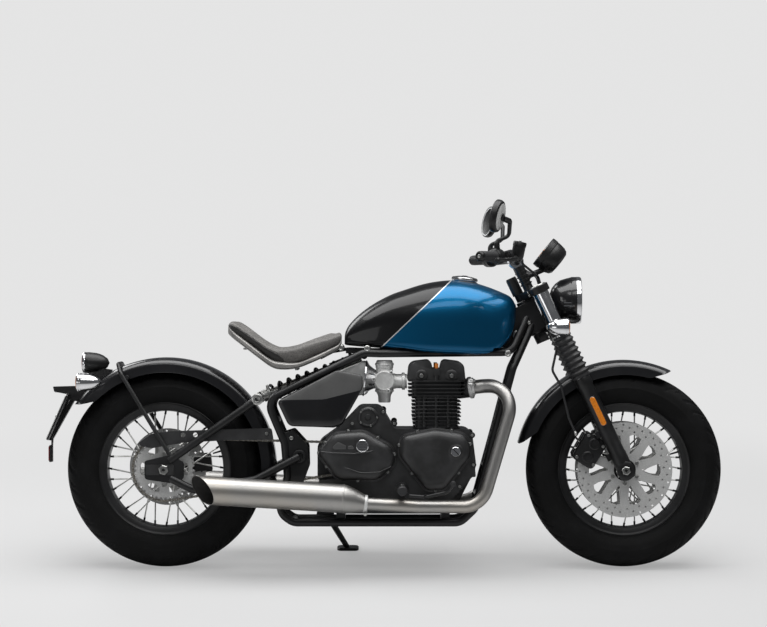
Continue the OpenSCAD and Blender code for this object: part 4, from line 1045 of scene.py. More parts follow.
class BOBBER_OT_engine(Step):
    """Screwed covers, finned block and head"""
    bl_idname = "bobber.engine"
    bl_label = "Engine"
    clutch = [(764, 438, 36), (880, 462, 90), (990, 446, 50), (1004, 372, 50), (912, 254, 36),
        (850, 252, 36), (756, 372, 50)]
    sprocket = [(492, 380, 24), (548, 448, 50), (650, 456, 60), (744, 404, 40), (760, 346, 40),
        (700, 286, 50), (560, 288, 50)]
    alternator = [(780, 440, 60), (970, 446, 60), (985, 300, 70), (880, 254, 60), (780, 290, 60)]

    def build(self, sizes):
        self.covers()
        self.cylinders()

    def cover(self, shape, rows, centre, side):
        """A cover with a flange, a rounded shoulder and a flatter crown."""
        rim = outline(rows, 8)
        deep = 45.0
        shape.skin([[(x, side * (CASE_Y + out), z) for x, z in grown(rim, centre, share)]
            for out, share in ((0, 1.0), (9, 1.0), (10, 0.995), (10.5, 0.975), (11, 0.96),
            (deep * 0.5, 0.945), (deep * 0.72, 0.91), (deep * 0.88, 0.84), (deep * 0.97, 0.74), (deep, 0.6),
            (deep, 0.3), (deep, 0.02))])
        # screws round the flange
        count = len(rows)
        for i in range(count):
            a, b = Vector(rows[i][:2]), Vector(rows[(i + 1) % count][:2])
            spots = [a.lerp(b, 0.5)]
            c = Vector(centre)
            spots.append(a + (c - a).normalized() * rows[i][2] * 0.42)
            for s in spots:
                s = c + (s - c) * 0.965
                top = (s.x, side * (CASE_Y + 12), s.y)
                shape.rod((s.x, side * CASE_Y, s.y), top, 8.5, 18, r2=7.5)
                shape.bolt(top, (0, side, 0), 5.4, 1)

    def covers(self):
        shape = Shape()
        for rows, centre, side in ((self.clutch, (880, 362), -1), (self.sprocket, (626, 368), -1),
                (self.alternator, (880, 356), 1), (self.sprocket, (626, 368), 1)):
            self.cover(shape, rows, centre, side)
        # oil filler with its bright cap, on the clutch cover
        shape.lathe([(25, 0), (25, 2), (22, 4), (18, 4.4), (17, 2)], (946, -188, 384), (0, -1, 0), 48, 0)
        shape.lathe([(16, 0), (16, 4), (14.5, 5.5), (3, 5.7)], (946, -188, 384), (0, -1, 0), 40, 2)
        shape.box((946, -194, 384), (26, 3, 3), 3, Matrix.Rotation(0.8, 3, "Y"))
        # ribbed round plate on the sprocket cover, and its two cut panels
        shape.lathe([(20, 0), (20, 3), (18.5, 4), (17.5, 3), (17, 1)], (645, -190.5, 403), (0, -1, 0), 48, 2)
        for k in range(-2, 3):
            w = sqrt(16.5 ** 2 - (k * 6.2) ** 2)
            shape.box((645, -192, 403 + k * 6.2), (2 * w, 3, 3.2), 0)
        for rows in ([(540, 392, 6), (566, 416, 8), (592, 404, 6), (592, 392, 4)],
                [(598, 392, 4), (598, 404, 6), (612, 404, 5), (624, 392, 4)]):
            shape.plate(outline(rows, 4), -186, -192.6, 4, edge=1.5)
        shape.tube(rounded([(512, -184, 384), (548, -191.6, 380), (620, -191.8, 378), (668, -191.6, 384),
            (700, -184, 396)], 14), 2.6, 10)
        # raised sweep across the same cover
        shape.tube(rounded([(590, -190, 332), (640, -191.4, 316), (700, -189, 318), (738, -180, 336)], 30),
            2.2, 10)
        dress("engine_covers", shape, "engine zinc bright satin_black smooth", "black_engine", sharp=32)

    def cylinders(self):
        shape = Shape()

        def slab(x0, x1, half, z0, z1, r, look=0):
            ring = rounded([(x0, -half, 0), (x1, -half, 0), (x1, half, 0), (x0, half, 0)], r, 5, True)
            rings = [[(p[0] + (885 - p[0]) * pull / 90, p[1] * (1 - pull / half), z) for p in ring]
                for z, pull in ((z0, 0.9), (z0 + 0.7, 0), (z1 - 0.7, 0), (z1, 0.9))]
            shape.skin(rings, look)

        slab(817, 953, 126, 456.5, 560, 16)
        for k in range(9):
            reach = 0 if k > 2 else 4 * (3 - k)
            slab(805 + reach * 0.4, 965 - reach * 0.4, 140 - reach, 458 + 12 * k, 461.2 + 12 * k, 24)
        for k in range(9):
            for x in (846, 885, 924):
                for side in (1, -1):
                    shape.rod((x, side * 126, 461 + 12 * k), (x, side * 126, 470 + 12 * k), 7, 10)
        dress("cylinder_block", shape, "engine", "black_engine", sharp=35)
        shape = Shape()

        def slab2(x0, x1, half, z0, z1, r):
            ring = rounded([(x0, -half, 0), (x1, -half, 0), (x1, half, 0), (x0, half, 0)], r, 5, True)
            shape.skin([[(p[0], p[1], z) for p in ring] for z in (z0, z1)])

        slab2(806, 964, 128, 560.3, 614, 14)
        for k in range(5):
            slab2(794, 976, 140, 561 + 12 * k, 564.4 + 12 * k, 20)
            slab2(793.4, 976.6, 140.6, 562.2 + 12 * k, 563.4 + 12 * k, 20)
        hump = [(790, 612, 4), (980, 612, 4), (974, 672, 26), (905, 680.5, 14), (897, 648, 7),
            (873, 648, 7), (865, 680.5, 14), (796, 672, 26)]
        rim = outline(hump, 7)
        rings = []
        for y, share in ((-124, 0.94), (-122.5, 0.97), (-119, 0.99), (-112, 1), (112, 1), (119, 0.99),
                (122.5, 0.97), (124, 0.94)):
            rings.append([(x, y, z) for x, z in grown(rim, (885, 640), share)])
        shape.skin(rings)
        for side in (1, -1):
            for x in (836, 934):
                # ears with screws at the foot of each hump
                shape.lathe([(20, 0), (20, 8), (17, 10), (9, 10), (8, 8)], (x, side * 118, 628),
                    (0, side, 0), 28, 0)
                shape.bolt((x, side * 127, 628), (0, side, 0), 7, 1)
            shape.box((885, side * 118, 640), (22, 22, 22), 0)
            shape.rod((885, side * 119, 612), (885, side * 119, 652), 10, 16)
            shape.rod((885, side * 119, 650), (885, side * 119, 668), 6, 16, 2)
            way = vec(48, side * 11, 6).normalized()
            end = vec(992.4, side * 73, 586)
            shape.rod(end - way * 36, end - way * 0.4, 30, 32)
        for side in (1, -1):
            for x in (806, 964):
                shape.bolt((x, side * 110, 615), (0, 0, 1), 7, 1)
        dress("cylinder_head", shape, "engine zinc orange", "black_engine", sharp=35)


class BOBBER_OT_intake(Step):
    """Throttle bodies styled as carburettors, cast and bright"""
    bl_idname = "bobber.intake"
    bl_label = "Intake"

    def build(self, sizes):
        shape = Shape()
        # upright barrel with its caps
        shape.lathe([(18, 0), (20, 4), (21, 22), (25, 30), (27, 34), (27, 112), (29, 114), (29, 122),
            (27, 124), (27, 132), (24, 136)], (716, 72, 540), (0, 0, 1), 40)
        for z in (578, 664):
            shape.lathe([(27, -3), (30, -3), (31, 0), (30, 3), (27, 3)], (716, 72, z), (0, 0, 1), 40)
        for k in range(6):
            a = tau * k / 6 + 0.3
            shape.bolt((716 + 25 * cos(a), 72 + 25 * sin(a), 663), (0, 0, 1), 3.6, 1)
        # throat from the trumpet to the head
        shape.lathe([(24, 0), (25.5, 2), (25.5, 10), (23, 14), (23, 50), (24, 100), (22, 104), (22, 122),
            (27, 124), (27, 132), (22, 134), (22, 139.6)], (650, 72, 608), (1, 0, 0), 40)
        # round side plate with three screws
        shape.lathe([(32, 0), (33, 3), (33, 36), (31, 39), (28, 40), (27.4, 38), (10, 38.6)],
            (716, 90, 612), SIDE, 56)
        for k in range(3):
            a = tau * k / 3 + 0.9
            shape.lathe([(6, -34), (6, 3), (4.5, 4)], (716 + 35 * cos(a), 130, 612 + 35 * sin(a)), SIDE, 18)
            shape.bolt((716 + 35 * cos(a), 133, 612 + 35 * sin(a)), SIDE, 4, 1)
        rows = [(536, 590, 20), (560, 640, 16), (664, 682, 16), (664, 566, 16), (560, 556, 20)]
        rim = outline(rows, 6)
        shape.skin([[(x, y, z) for x, z in grown(rim, (612, 614), share)]
            for y, share in ((38, 1), (76, 1), (83, 0.985), (87, 0.95), (88, 0.9))])
        # bright bell between the housing and the throat
        shape.lathe([(58, 0), (57, 4), (44, 12), (34, 26), (28, 38)], (650, 72, 618), (1, -0.02, -0.1), 48, 2)
        shape.mirrored()
        dress("intake", shape, "silver zinc bright", "silver_cast", sharp=35)


class BOBBER_OT_fork(Step):
    """Fork legs with their reflectors, gaiters, bright tubes and yokes"""
    bl_idname = "bobber.fork"
    bl_label = "Fork"

    def build(self, sizes):
        self.legs()
        self.yokes()

    def legs(self):
        leg, tube, gaiter = Shape(), Shape(), Shape()
        foot = on_fork(0, AXLE_OFFSET, FORK_Y)
        leg.lathe([(20, -29), (24, -26), (27, -18), (27, 60), (25.5, 64), (25.5, 300), (27.5, 306),
            (27.5, 328), (26, 334), (24, 334)], foot, FORK_U, 44)
        leg.lathe([(26, -27), (30, -25), (30, 25), (26, 27), (16, 27), (15, 22)], foot, SIDE, 44)
        # pinch bolts beside the axle and the reflector on the outside
        for t in (-20, 20):
            spot = foot + FORK_N * -26 + FORK_U * t * 0.4
            leg.bolt(spot + SIDE * 14 * (1 if t > 0 else -1), -FORK_N, 4.5, 1)
        ring = rounded([(-9, 0, 0), (9, 0, 0), (9, 100, 0), (-9, 100, 0)], 8.8, 6, True)
        base = on_fork(164, AXLE_OFFSET, FORK_Y + 24)
        for look, scale, lift in ((2, 1.18, 4.5), (3, 1.0, 7.6)):
            rings = []
            for out, share in ((-6, 1.0), (lift - 1.2, 1.0), (lift, 0.86)):
                rings.append([base + FORK_N * p[0] * share * scale + FORK_U * (50
                    + (p[1] - 50) * (1 + (share - 1) * 0.2) * (1 + (scale - 1) * 0.25)) + SIDE * out
                    for p in ring])
            leg.skin(rings, look)
        # caliper ears
        leg.box(on_fork(60, AXLE_OFFSET - 26, FORK_Y - 8), (26, 18, 20), 0, FORK_TURN)
        leg.box(on_fork(142, AXLE_OFFSET - 26, FORK_Y - 8), (26, 18, 20), 0, FORK_TURN)
        leg.mirrored()
        dress("fork_legs", leg, "satin_black zinc plastic amber", "black_paint", "steering")
        tube.lathe([(23.4, 214.4), (23.5, 220), (23.5, 655), (22, 660), (8, 660), (7, 657)],
            on_fork(0, AXLE_OFFSET, FORK_Y), FORK_U, 48)
        tube.mirrored()
        dress("fork_tubes", tube, "bright", "bright_metal", "steering")
        profile = [(27.5, 334.5), (30.5, 336), (30.5, 344), (28, 346)]
        for i in range(7):
            low = 346 + i * 18.6
            out = 36 - i * 0.45
            profile += [(28, low + 1.5), (out - 1.2, low + 6.4), (out, low + 8.2), (out - 1.2, low + 10),
                (28, low + 15.8), (27.2, low + 17.2)]
        profile += [(28, 477), (30.5, 478), (30.5, 485), (28, 486)]
        gaiter.lathe([(24.2, 334.5)] + profile + [(24.2, 486)], on_fork(0, AXLE_OFFSET, FORK_Y), FORK_U, 44)
        gaiter.mirrored()
        dress("fork_gaiters", gaiter, "rubber", "rubber", "steering")

    def yoke(self, shape, t, h, wall):
        """One yoke: two clamps joined by a waisted bridge, with its pinch screws."""
        for side in (1, -1):
            shape.lathe([(24.1, 0), (23.5 + wall - 2, 0), (23.5 + wall, 2), (23.5 + wall, h - 2),
                (23.5 + wall - 2, h), (24.1, h)], on_fork(t, AXLE_OFFSET, side * FORK_Y), FORK_U, 44,
                closed=True)
            for k in (0.28, 0.72):
                spot = on_fork(t + h * k, AXLE_OFFSET - 30, side * (FORK_Y - 14))
                shape.box(spot, (14, 16, h * 0.34), 0, FORK_TURN)
                shape.bolt(spot - FORK_N * 6, -FORK_N, 4.5, 1)
        rows = [(-12, -22, 4), (AXLE_OFFSET - 22, -FORK_Y + 4, 4), (AXLE_OFFSET + 22, -FORK_Y + 14, 4),
            (38, 0, 60), (AXLE_OFFSET + 22, FORK_Y - 14, 4), (AXLE_OFFSET - 22, FORK_Y - 4, 4),
            (-12, 22, 4)]
        rim = outline(rows, 6)
        rings = []
        for up, share in ((0, 0.97), (2, 1.0), (h - 2, 1.0), (h, 0.97)):
            rings.append([on_fork(t + up, 20 + (o - 20) * share, y * (0.98 if share == 1.0 else 0.97))
                for o, y in rim])
        shape.skin(rings)
        shape.lathe([(26, 0), (26, h)], on_fork(t), FORK_U, 32)

    def yokes(self):
        shape = Shape()
        self.yoke(shape, 490, 30, 9)
        self.yoke(shape, 640, 24, 8)
        shape.lathe([(18, 0), (18, 54), (16, 60), (9, 60), (8, 57)], on_fork(663.8, -12), FORK_U, 32)
        for side in (1, -1):
            shape.lathe([(25, 0), (25, 5), (23, 7), (10, 7), (9, 4)], on_fork(660.4, AXLE_OFFSET,
                side * FORK_Y), FORK_U, 40, 1)
            shape.lathe([(17, 0), (15, 5), (14.5, 40), (17, 70), (17, 84)], on_fork(663, 27, side * 36),
                FORK_U, 32)
            for t in (682, 696, 710, 724):
                shape.lathe([(15, 0), (18.5, 1), (18.5, 5), (15, 6)], on_fork(t, 27, side * 36), FORK_U, 32)
            centre = on_fork(766, 27, side * 36)
            shape.lathe([(13.2, -14), (22.5, -14), (24, -12.5), (24, 12.5), (22.5, 14), (13.2, 14)], centre,
                SIDE, 44, 2, closed=True)
            for way in (1, -1):
                for out in (8, -8):
                    spot = centre + FORK_N * way * 19 + SIDE * out + FORK_U * 10
                    shape.rod(spot - FORK_U * 16, spot + FORK_U * 4, 5.4, 16, 2)
                    shape.bolt(spot + FORK_U * 4, FORK_U, 4.2, 1)
        dress("fork_yokes", shape, "satin_black zinc bright", "black_frame", "steering", sharp=32)


GRIP_IN = vec(1086, 285, 1012)
GRIP_OUT = vec(1021, 392, 1011)
GRIP = (GRIP_OUT - GRIP_IN).normalized()
BAR_MID = on_fork(766, 27)
LEVER = [GRIP_IN + Vector(p) for p in ((48, -34, -4), (50, 20, -8), (8, 84, -12), (-14, 132, -14))]
PERCH = vec(29.4, -52.8, -7.8).normalized()
MIRROR = vec(1072, 338, 1140)


class BOBBER_OT_handlebar(Step):
    """Handlebar, ribbed grips, levers, switches, reservoir and hoses"""
    bl_idname = "bobber.handlebar"
    bl_label = "Handlebar and controls"

    def build(self, sizes):
        half = rounded([BAR_MID, BAR_MID + vec(0, 70, 0), BAR_MID + vec(-22, 190, 24), GRIP_IN, GRIP_OUT],
            60, 12)
        bar = Shape().tube(list(reversed(flip(half[1:]))) + half, 12.7, 28)
        dress("handlebar", bar, "satin_black", "black_frame", "steering")
        self.controls()
        self.hoses()

    def controls(self):
        shape = Shape()
        length = (GRIP_OUT - GRIP_IN).length
        profile = [(13.1, 44), (20, 44), (20.5, 46), (17, 49)]
        ribs = 15
        for k in range(ribs):
            at = 50 + k * (length - 56) / ribs
            profile += [(16.9, at + 0.4), (16.9, at + 2.6), (16.1, at + 3.2), (16.1, at + 4.6)]
        profile += [(17, length - 4), (16, length - 2), (13.1, length - 2)]
        shape.lathe(profile, GRIP_IN, GRIP, 40, 0)
        shape.lathe([(15, 0), (16.5, 1.5), (16.5, 6), (13, 12), (5, 12.5), (4.5, 9)], GRIP_OUT + GRIP * 0.3,
            GRIP, 36, 1)
        shape.lathe([(6, 12), (6, 14), (4, 15)], GRIP_OUT, GRIP, 20, 2)
        # switch block: a waisted housing with buttons
        shape.lathe([(13.1, 8), (21, 8), (25, 11), (25.5, 24), (23.5, 25.5), (25.5, 27), (25, 39), (21, 43),
            (13.1, 43)], GRIP_IN, GRIP, 40, 1)
        up = vec(0, 0, 1)
        back = GRIP.cross(up).normalized()
        if back.x > 0:
            back = -back
        turn = Matrix((back, GRIP, up)).transposed()
        for at, size, look in ((14, (8, 10, 9), 4), (26, (8, 9, 7), 1), (36, (8, 7, 10), 1)):
            shape.box(GRIP_IN + GRIP * at + back * 23, size, look, turn)
        shape.box(GRIP_IN + GRIP * 24 + up * 22, (16, 18, 12), 1, turn)
        # perch, master cylinder and lever
        start = GRIP_IN + GRIP * 22 + vec(30, 0, 4)
        shape.rod(start, LEVER[0] + PERCH * 25.7, 10, 28, 1)
        shape.lathe([(13, 10), (13.5, 12), (13.5, 26), (12, 28)], start, PERCH, 28, 1)
        path = rounded(LEVER, 40, 10)
        last = len(path) - 1
        shape.tube(path, [9.2 - 3.4 * min(1, k / last * 1.6) + (3.2 if k == last else 0)
            for k in range(last + 1)], 18, 3)
        shape.lathe([(8.6, -6), (8.8, 0), (6, 5), (0.1, 7)], path[-1], path[-1] - path[-2], 18, 3)
        shape.rod(LEVER[0] - vec(0, 0, 12), LEVER[0] + vec(0, 0, 12), 7, 18, 2)
        shape.mirrored()
        # right-hand brake reservoir with its lid and two screws on it
        tilt = Vector((sin(radians(12)), 0, cos(radians(12))))
        foot = vec(LEVER[0].x + 6, -LEVER[0].y, LEVER[0].z - 2)
        shape.lathe([(16, 0), (19, 3), (20.5, 8), (20.5, 40), (21.6, 41), (21.6, 52), (20, 55), (4, 56)],
            foot, tilt, 44, 1)
        for k in range(2):
            shape.bolt(foot + tilt * 55.4 + SIDE * (12 if k else -12), tilt, 3.4, 2)
        dress("hand_controls", shape, "rubber satin_black zinc satin_black orange", "black_plastic",
            "steering", sharp=32)

    def hoses(self):
        upper = [LEVER[0] + PERCH * 26, LEVER[0] + PERCH * 46, GRIP_IN + vec(78, -104, -24),
            on_fork(690, 70, 56), on_fork(640, 62, 44), on_fork(590, 40, 58), on_fork(520.5, 26, 50)]
        lower = [on_fork(489.7, 30, -62), on_fork(460, 30, -62), (1262, -86, 645), (1292, -88, 592),
            (1316, -95, 490), (1341, -100, 432)]
        shape = Shape()
        for path in (rounded(upper, 18, 8), flip(rounded(upper, 18, 8)), rounded(lower, 25, 8)):
            shape.tube(path, 4, 14)
            way = (path[1] - path[0]).normalized()
            shape.lathe([(4, 0), (6.4, 1), (6.4, 12), (4.4, 15)], path[0], way, 20, 1)
            way = (path[-2] - path[-1]).normalized()
            shape.lathe([(4, 0), (6.4, 1), (6.4, 12), (4.4, 15)], path[-1], way, 20, 1)
        dress("brake_hose", shape, "rubber zinc", "rubber", "steering")


class BOBBER_OT_mirrors(Step):
    """Round mirrors with glass and slim stalks"""
    bl_idname = "bobber.mirrors"
    bl_label = "Mirrors"

    def build(self, sizes):
        foot = GRIP_IN + GRIP * 22 + vec(0, 0, 25.3)
        route = [foot, foot + vec(0, 0, 24), GRIP_IN + vec(28, -4, 66), GRIP_IN + vec(30, 20, 112),
            MIRROR + vec(20, 0, -8)]
        path = rounded(route, 14, 8)
        last = len(path) - 1
        shape = Shape()
        shape.tube(path, [9.5 - 3.4 * sin(pi * min(1, 1.1 * k / last)) for k in range(last + 1)], 18)
        shape.lathe([(9, 0), (9, 12), (7, 16)], foot, UP, 6, 1)
        turn = Matrix.Rotation(radians(19), 3, "Z") @ Matrix.Rotation(radians(12), 3, "Y")
        axis = turn @ vec(1, 0, 0)
        shape.lathe([(49, -6), (51, -7), (53, -5), (53.5, 0), (53, 6), (50, 12), (44, 15)], MIRROR, axis, 72)
        # the light silver middle of the black back is a painted highlight
        shape.lathe([(44, 14.6), (40, 16.5), (28, 18.5), (12, 19)], MIRROR, axis, 72, 3)
        # glass: a near-white, mostly diffuse face, which is a painted reflection
        shape.lathe([(49.2, -5.6), (49, -6.2), (30, -5.2), (0.1, -4.9)], MIRROR, axis, 72, 2)
        shape.lathe([(12, 16), (12, 22), (9, 25)], MIRROR, axis, 28, 0)
        shape.mirrored()
        dress("mirrors", shape, "satin_black zinc mirror silver", "black_plastic", "steering", sharp=28)


class BOBBER_OT_lamps(Step):
    """Headlamp, instrument, indicators and tail lamp"""
    bl_idname = "bobber.lamps"
    bl_label = "Lamps and instrument"

    def build(self, sizes):
        self.headlamp()
        self.instrument()
        self.indicators()
        self.tail()

    def headlamp(self):
        shape = Shape()
        face = vec(1358, 0, 873)
        back = vec(-1, 0, 0)
        shape.lathe([(73, 3), (77, 4), (77, 28), (75.5, 31), (75, 34), (72, 46), (66, 66), (54, 82),
            (40, 93), (20, 100), (0.1, 102)], face, back, 96, 0)
        shape.lathe([(68, 6), (70, -1), (73, -3), (76.5, 0), (77.4, 5), (77.4, 13), (75.5, 14)], face, back,
            96, 1, closed=True)
        shape.lathe([(69.6, -1), (60, -3.4), (40, -5.0), (20, -5.7), (0.1, -6)], face, back, 96, 2)
        # reflector behind the glass, split by a bar
        shape.lathe([(69, 1), (64, 10), (50, 24), (30, 34), (12, 38), (0.1, 38)], face, back, 72, 3)
        shape.box(face + back * 4, (6, 130, 5), 4)
        shape.box(face + back * 4, (6, 5, 70), 4)
        for r, d, look in ((15, 26, 3), (9, 12, 4)):
            shape.lathe([(r, d + 12), (r, d), (r - 3, d - 2), (0.1, d - 3)], face, back, 36, look)
        for side in (1, -1):
            # two bright lines low on each flank
            for z in (-8, -18):
                spot = face + back * 40 + vec(0, side * (72.5 if z == -8 else 71), z)
                shape.box(spot, (34, 3, 2.6), 1, Matrix.Rotation(side * radians(6), 3, "Z"))
            shape.rod(on_fork(520.5, 58, side * 68), on_fork(609, 58, side * 68), 7, 20, 5)
            shape.lathe([(7, 0), (11, 1), (11, 6), (8, 8)], on_fork(520.5, 58, side * 68), FORK_U, 24, 6)
            shape.rod(on_fork(600, 57, side * 30), face + vec(-60, side * 24, -5), 9, 20, 5)
            shape.bolt(on_fork(600, 58, side * 77), SIDE * side, 6, 6)
        shape.rod(on_fork(600, 58, -78), on_fork(600, 58, 78), 5.5, 20, 5)
        dress("headlamp", shape, "gloss_black bright clear bright satin_black satin_black zinc",
            "black_plastic", "steering", sharp=30)

    def instrument(self):
        shape = Shape()
        face = vec(1236, 0, 1036)
        tilt = radians(180 - 51)
        axis = vec(sin(tilt), 0, cos(tilt))
        shape.lathe([(48, 6), (48, 3), (51, 1.5), (54, 2), (54.4, 8), (54.4, 20), (53, 22), (53, 26),
            (53.6, 28), (51, 50), (46, 62), (38, 68), (20, 70), (0.1, 70)], face, axis, 72, 0)
        shape.lathe([(48.5, 5), (30, 4.2), (0.1, 4.0)], face, axis, 60, 1)
        ahead = vec(-axis.z, 0, axis.x)
        if ahead.z < 0:
            ahead = -ahead
        # scale marks, needle and numbers
        for k in range(41):
            a = radians(-130 + 260 * k / 40)
            out = ahead * cos(a) + SIDE * -sin(a)
            size = (1.4 if k % 4 == 0 else 0.7, 7 if k % 4 == 0 else 4)
            mid = face + axis * 3.6 + out * (44 - size[1] / 2)
            side = out.cross(axis)
            shape.skin([[mid + out * sx * size[1] / 2 + side * sy * size[0] / 2 + axis * z
                for sx, sy in ((-1, -1), (1, -1), (1, 1), (-1, 1))] for z in (0.5, -0.2)], 2)
        a = radians(-130)
        out = ahead * cos(a) + SIDE * -sin(a)
        shape.rod(face + axis * 1.6 - out * 8, face + axis * 1.6 + out * 36, 1.3, 8, 3, r2=0.6)
        shape.lathe([(5, 3.5), (5, 0.5), (3, -0.2), (0.1, -0.4)], face, axis, 20, 4)
        shape.skin([[face + axis * z + ahead * (-17 + 9 * v) + SIDE * 15 * u
            for u, v in ((-1, -1), (1, -1), (1, 1), (-1, 1))] for z in (3.8, 3.0)], 5)
        shape.tube(rounded([face + vec(40, 0, -46), on_fork(706, 36), on_fork(664.3, 30)], 20, 8), 9, 20)
        dress("instrument", shape, "satin_black dial marks orange satin_black smooth", "black_plastic",
            "steering", sharp=30)
        for k in range(0, 9):
            a = radians(-130 + 260 * k / 8)
            out = ahead * cos(a) + SIDE * -sin(a)
            self.number(str(k * 20), face + axis * 3.0 + out * 31.5, axis, ahead)

    def number(self, text, place, axis, ahead):
        curve = bpy.data.curves.new("dial_number_" + text, "FONT")
        curve.body, curve.size, curve.extrude = text, 0.0085, 0.0002
        curve.align_x = curve.align_y = "CENTER"
        curve.materials.append(material("marks"))
        obj = bpy.data.objects.new("dial_number_" + text, curve)
        bpy.context.scene.collection.objects.link(obj)
        up = (PARK.to_3x3() @ ahead).normalized()
        out = (PARK.to_3x3() @ -axis).normalized()
        obj.matrix_world = Matrix.Translation(PARK @ place) @ Matrix((up.cross(out), up,
            out)).transposed().to_4x4()
        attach(obj, "steering")

    def bullet(self, shape, face, ahead, r, length, lens, body=0):
        """A bullet-shaped lamp with its lens at face, looking ahead."""
        back = -Vector(ahead)
        shape.lathe([(r - 3, 3), (r - 1, 2), (r, 4), (r, length * 0.24), (r * 0.97, length * 0.36),
            (r * 0.93, length * 0.5), (r * 0.84, length * 0.64), (r * 0.68, length * 0.78),
            (r * 0.4, length * 0.93), (0.1, length)], face, back, 48, body)
        shape.lathe([(r - 3.2, 6), (r - 3, 1), (r - 1.6, 0.4), (r - 0.4, 2), (r + 0.6, 6), (r + 0.4, 9),
            (r - 1, 10)], face, back, 48, 1, closed=True)
        shape.lathe([(r - 3, 2), (r * 0.7, -2), (r * 0.35, -3.7), (0.1, -4)], face, back, 48, lens)

    def indicators(self):
        shape = Shape()
        lamp = vec(1290, 172, 786)
        self.bullet(shape, lamp + vec(22, 0, 0), (1, 0, 0), 29, 70, 2)
        stem = on_fork(505, AXLE_OFFSET)
        shape.rod((stem.x, 138.3, stem.z), (stem.x, 162, stem.z), 7, 24)
        shape.lathe([(7, 0), (10.5, 1), (10.5, 6), (7.5, 8)], (stem.x, 138.3, stem.z), SIDE, 28, 1)
        shape.mirrored()
        dress("front_indicators", shape, "bright bright amber", "bright_metal", "steering", sharp=30)

    def tail(self):
        shape = Shape()
        self.bullet(shape, vec(-274, 0, 668), (-1, 0, 0), 35, 88, 3, 4)
        rim = [(363.7 * cos(radians(a)), REAR_R + 363.7 * sin(radians(a)))
            for a in (120, 123, 126, 129, 131)]
        shape.plate([(-262, 650), (-205, 650), (-176, 645)] + rim, -16, 16, 4)
        lamp = vec(-282, 132, 607)
        both = Shape()
        self.bullet(both, lamp, (-1, 0, 0), 29, 80, 2)
        both.rod(lamp + vec(34, -20, 0), (-238, 10, 626), 7, 20, 4)
        both.lathe([(7.4, 0), (10, 2), (10, 8), (7.4, 10)], lamp + vec(36, -28, 1),
            vec(-238, 10, 626) - (lamp + vec(34, -20, 0)), 24, 1)
        both.mirrored()
        base = len(shape.points)
        shape.points += both.points
        for corners, look in zip(both.faces, both.looks):
            shape.face([base + c for c in corners], look)
        dress("rear_lamps", shape, "bright bright amber red satin_black", "black_plastic", sharp=30)
        self.holder()

    def holder(self):
        shape = Shape()
        rim = [(363.7 * cos(radians(a)), REAR_R + 363.7 * sin(radians(a)))
            for a in (133, 136, 139, 141, 143)]
        shape.plate([(-318, 548), (-326, 566), (-366, 574), (-370, 590), (-300, 592)] + rim, -24, 24)
        turn = Matrix.Rotation(radians(24), 3, "Y")
        top = vec(-318, 0, 566)
        ring = rounded([(0, -90, -160), (0, 90, -160), (0, 90, 0), (0, -90, 0)], 8, 5, True)
        shape.skin([[top + turn @ (p + vec(x, 0, 0)) for p in ring] for x in (-4, -1.6)], 1)
        shape.skin([[top + turn @ vec(x, p[1] * 1.015, -80 + (p[2] + 80) * 1.02) for p in ring]
            for x in (-1.6, 4)], 0)
        shape.plate([(-312, 560), (-320, 560), (-384, 416), (-376, 414)], -32, 32)
        shape.plate([(-312, 552), (-384, 416), (-372, 416), (-300, 545)], -16, 16)
        for side in (1, -1):
            shape.lathe([(6, 0), (6, 2), (4.5, 3.6), (0.1, 4)], top + turn @ vec(-4, side * 60, -80),
                turn @ vec(-1, 0, 0), 20, 2)
        # plate lamp's lens, and the reflector on its arm
        shape.skin([[(x, y, z) for y in (-15, 15) for x in ((-364, -352) if y < 0 else (-352, -364))]
            for z in (574, 571)], 4)
        shape.plate([(-349, 500), (-376, 440), (-377, 400), (-377, 344), (-372, 344), (-372, 400),
            (-369, 440), (-343, 500)], -9, 9)
        block = rounded([(0, -23, 343), (0, 23, 343), (0, 23, 398), (0, -23, 398)], 4, 4, True)
        shape.skin([[p + vec(x, 0, 0) for p in block] for x in (-376, -382)], 0)
        shape.skin([[vec(x, p[1] * f, 370.5 + (p[2] - 370.5) * f) for p in block]
            for x, f in ((-381, 0.9), (-384, 0.9), (-385, 0.84))], 3)
        dress("plate_holder", shape, "satin_black plate zinc red clear", "plate_blank", sharp=30)


class BOBBER_OT_calipers(Step):
    """Front brake calipers bolted behind the fork legs"""
    bl_idname = "bobber.calipers"
    bl_label = "Front calipers"
    rows = [(90, -50, 14), (168, -56, 16), (172, 46, 16), (96, 52, 14)]

    def build(self, sizes):
        turn = Matrix.Rotation(radians(-152), 3, "Y")
        shape = Shape()

        def at(x, y, z):
            return FRONT_AXLE + turn @ vec(x, 0, z) + SIDE * y

        rim = outline(self.rows, 6)
        for y0, y1 in ((51, 61), (77, 95)):
            rings = []
            for y, share in ((y0, 0.95), (y0 + 3, 1.0), (y1 - 4, 1.0), (y1 - 1, 0.96), (y1, 0.9)):
                rings.append([at(x, y, z) for x, z in grown(rim, (132, -2), share)])
            shape.skin(rings)
        # bridge over the disc's edge, pistons and bolts
        shape.skin([[at(x, y, z) for x, z in ((160, -44), (171, -44), (174, 36), (162, 36))]
            for y in (58, 80)])
        for z in (-28, 20):
            shape.lathe([(19, 0), (19, 3), (16, 5), (12, 5), (11, 3.4)], at(128, 94, z), SIDE, 36, 0)
        for x, z in ((100, -34), (100, 34), (158, -44), (160, 36)):
            shape.bolt(at(x, 94.5, z), SIDE, 5.5, 1)
        shape.mirrored()
        dress("brake_calipers", shape, "satin_black zinc", "black_engine", "steering", sharp=30)


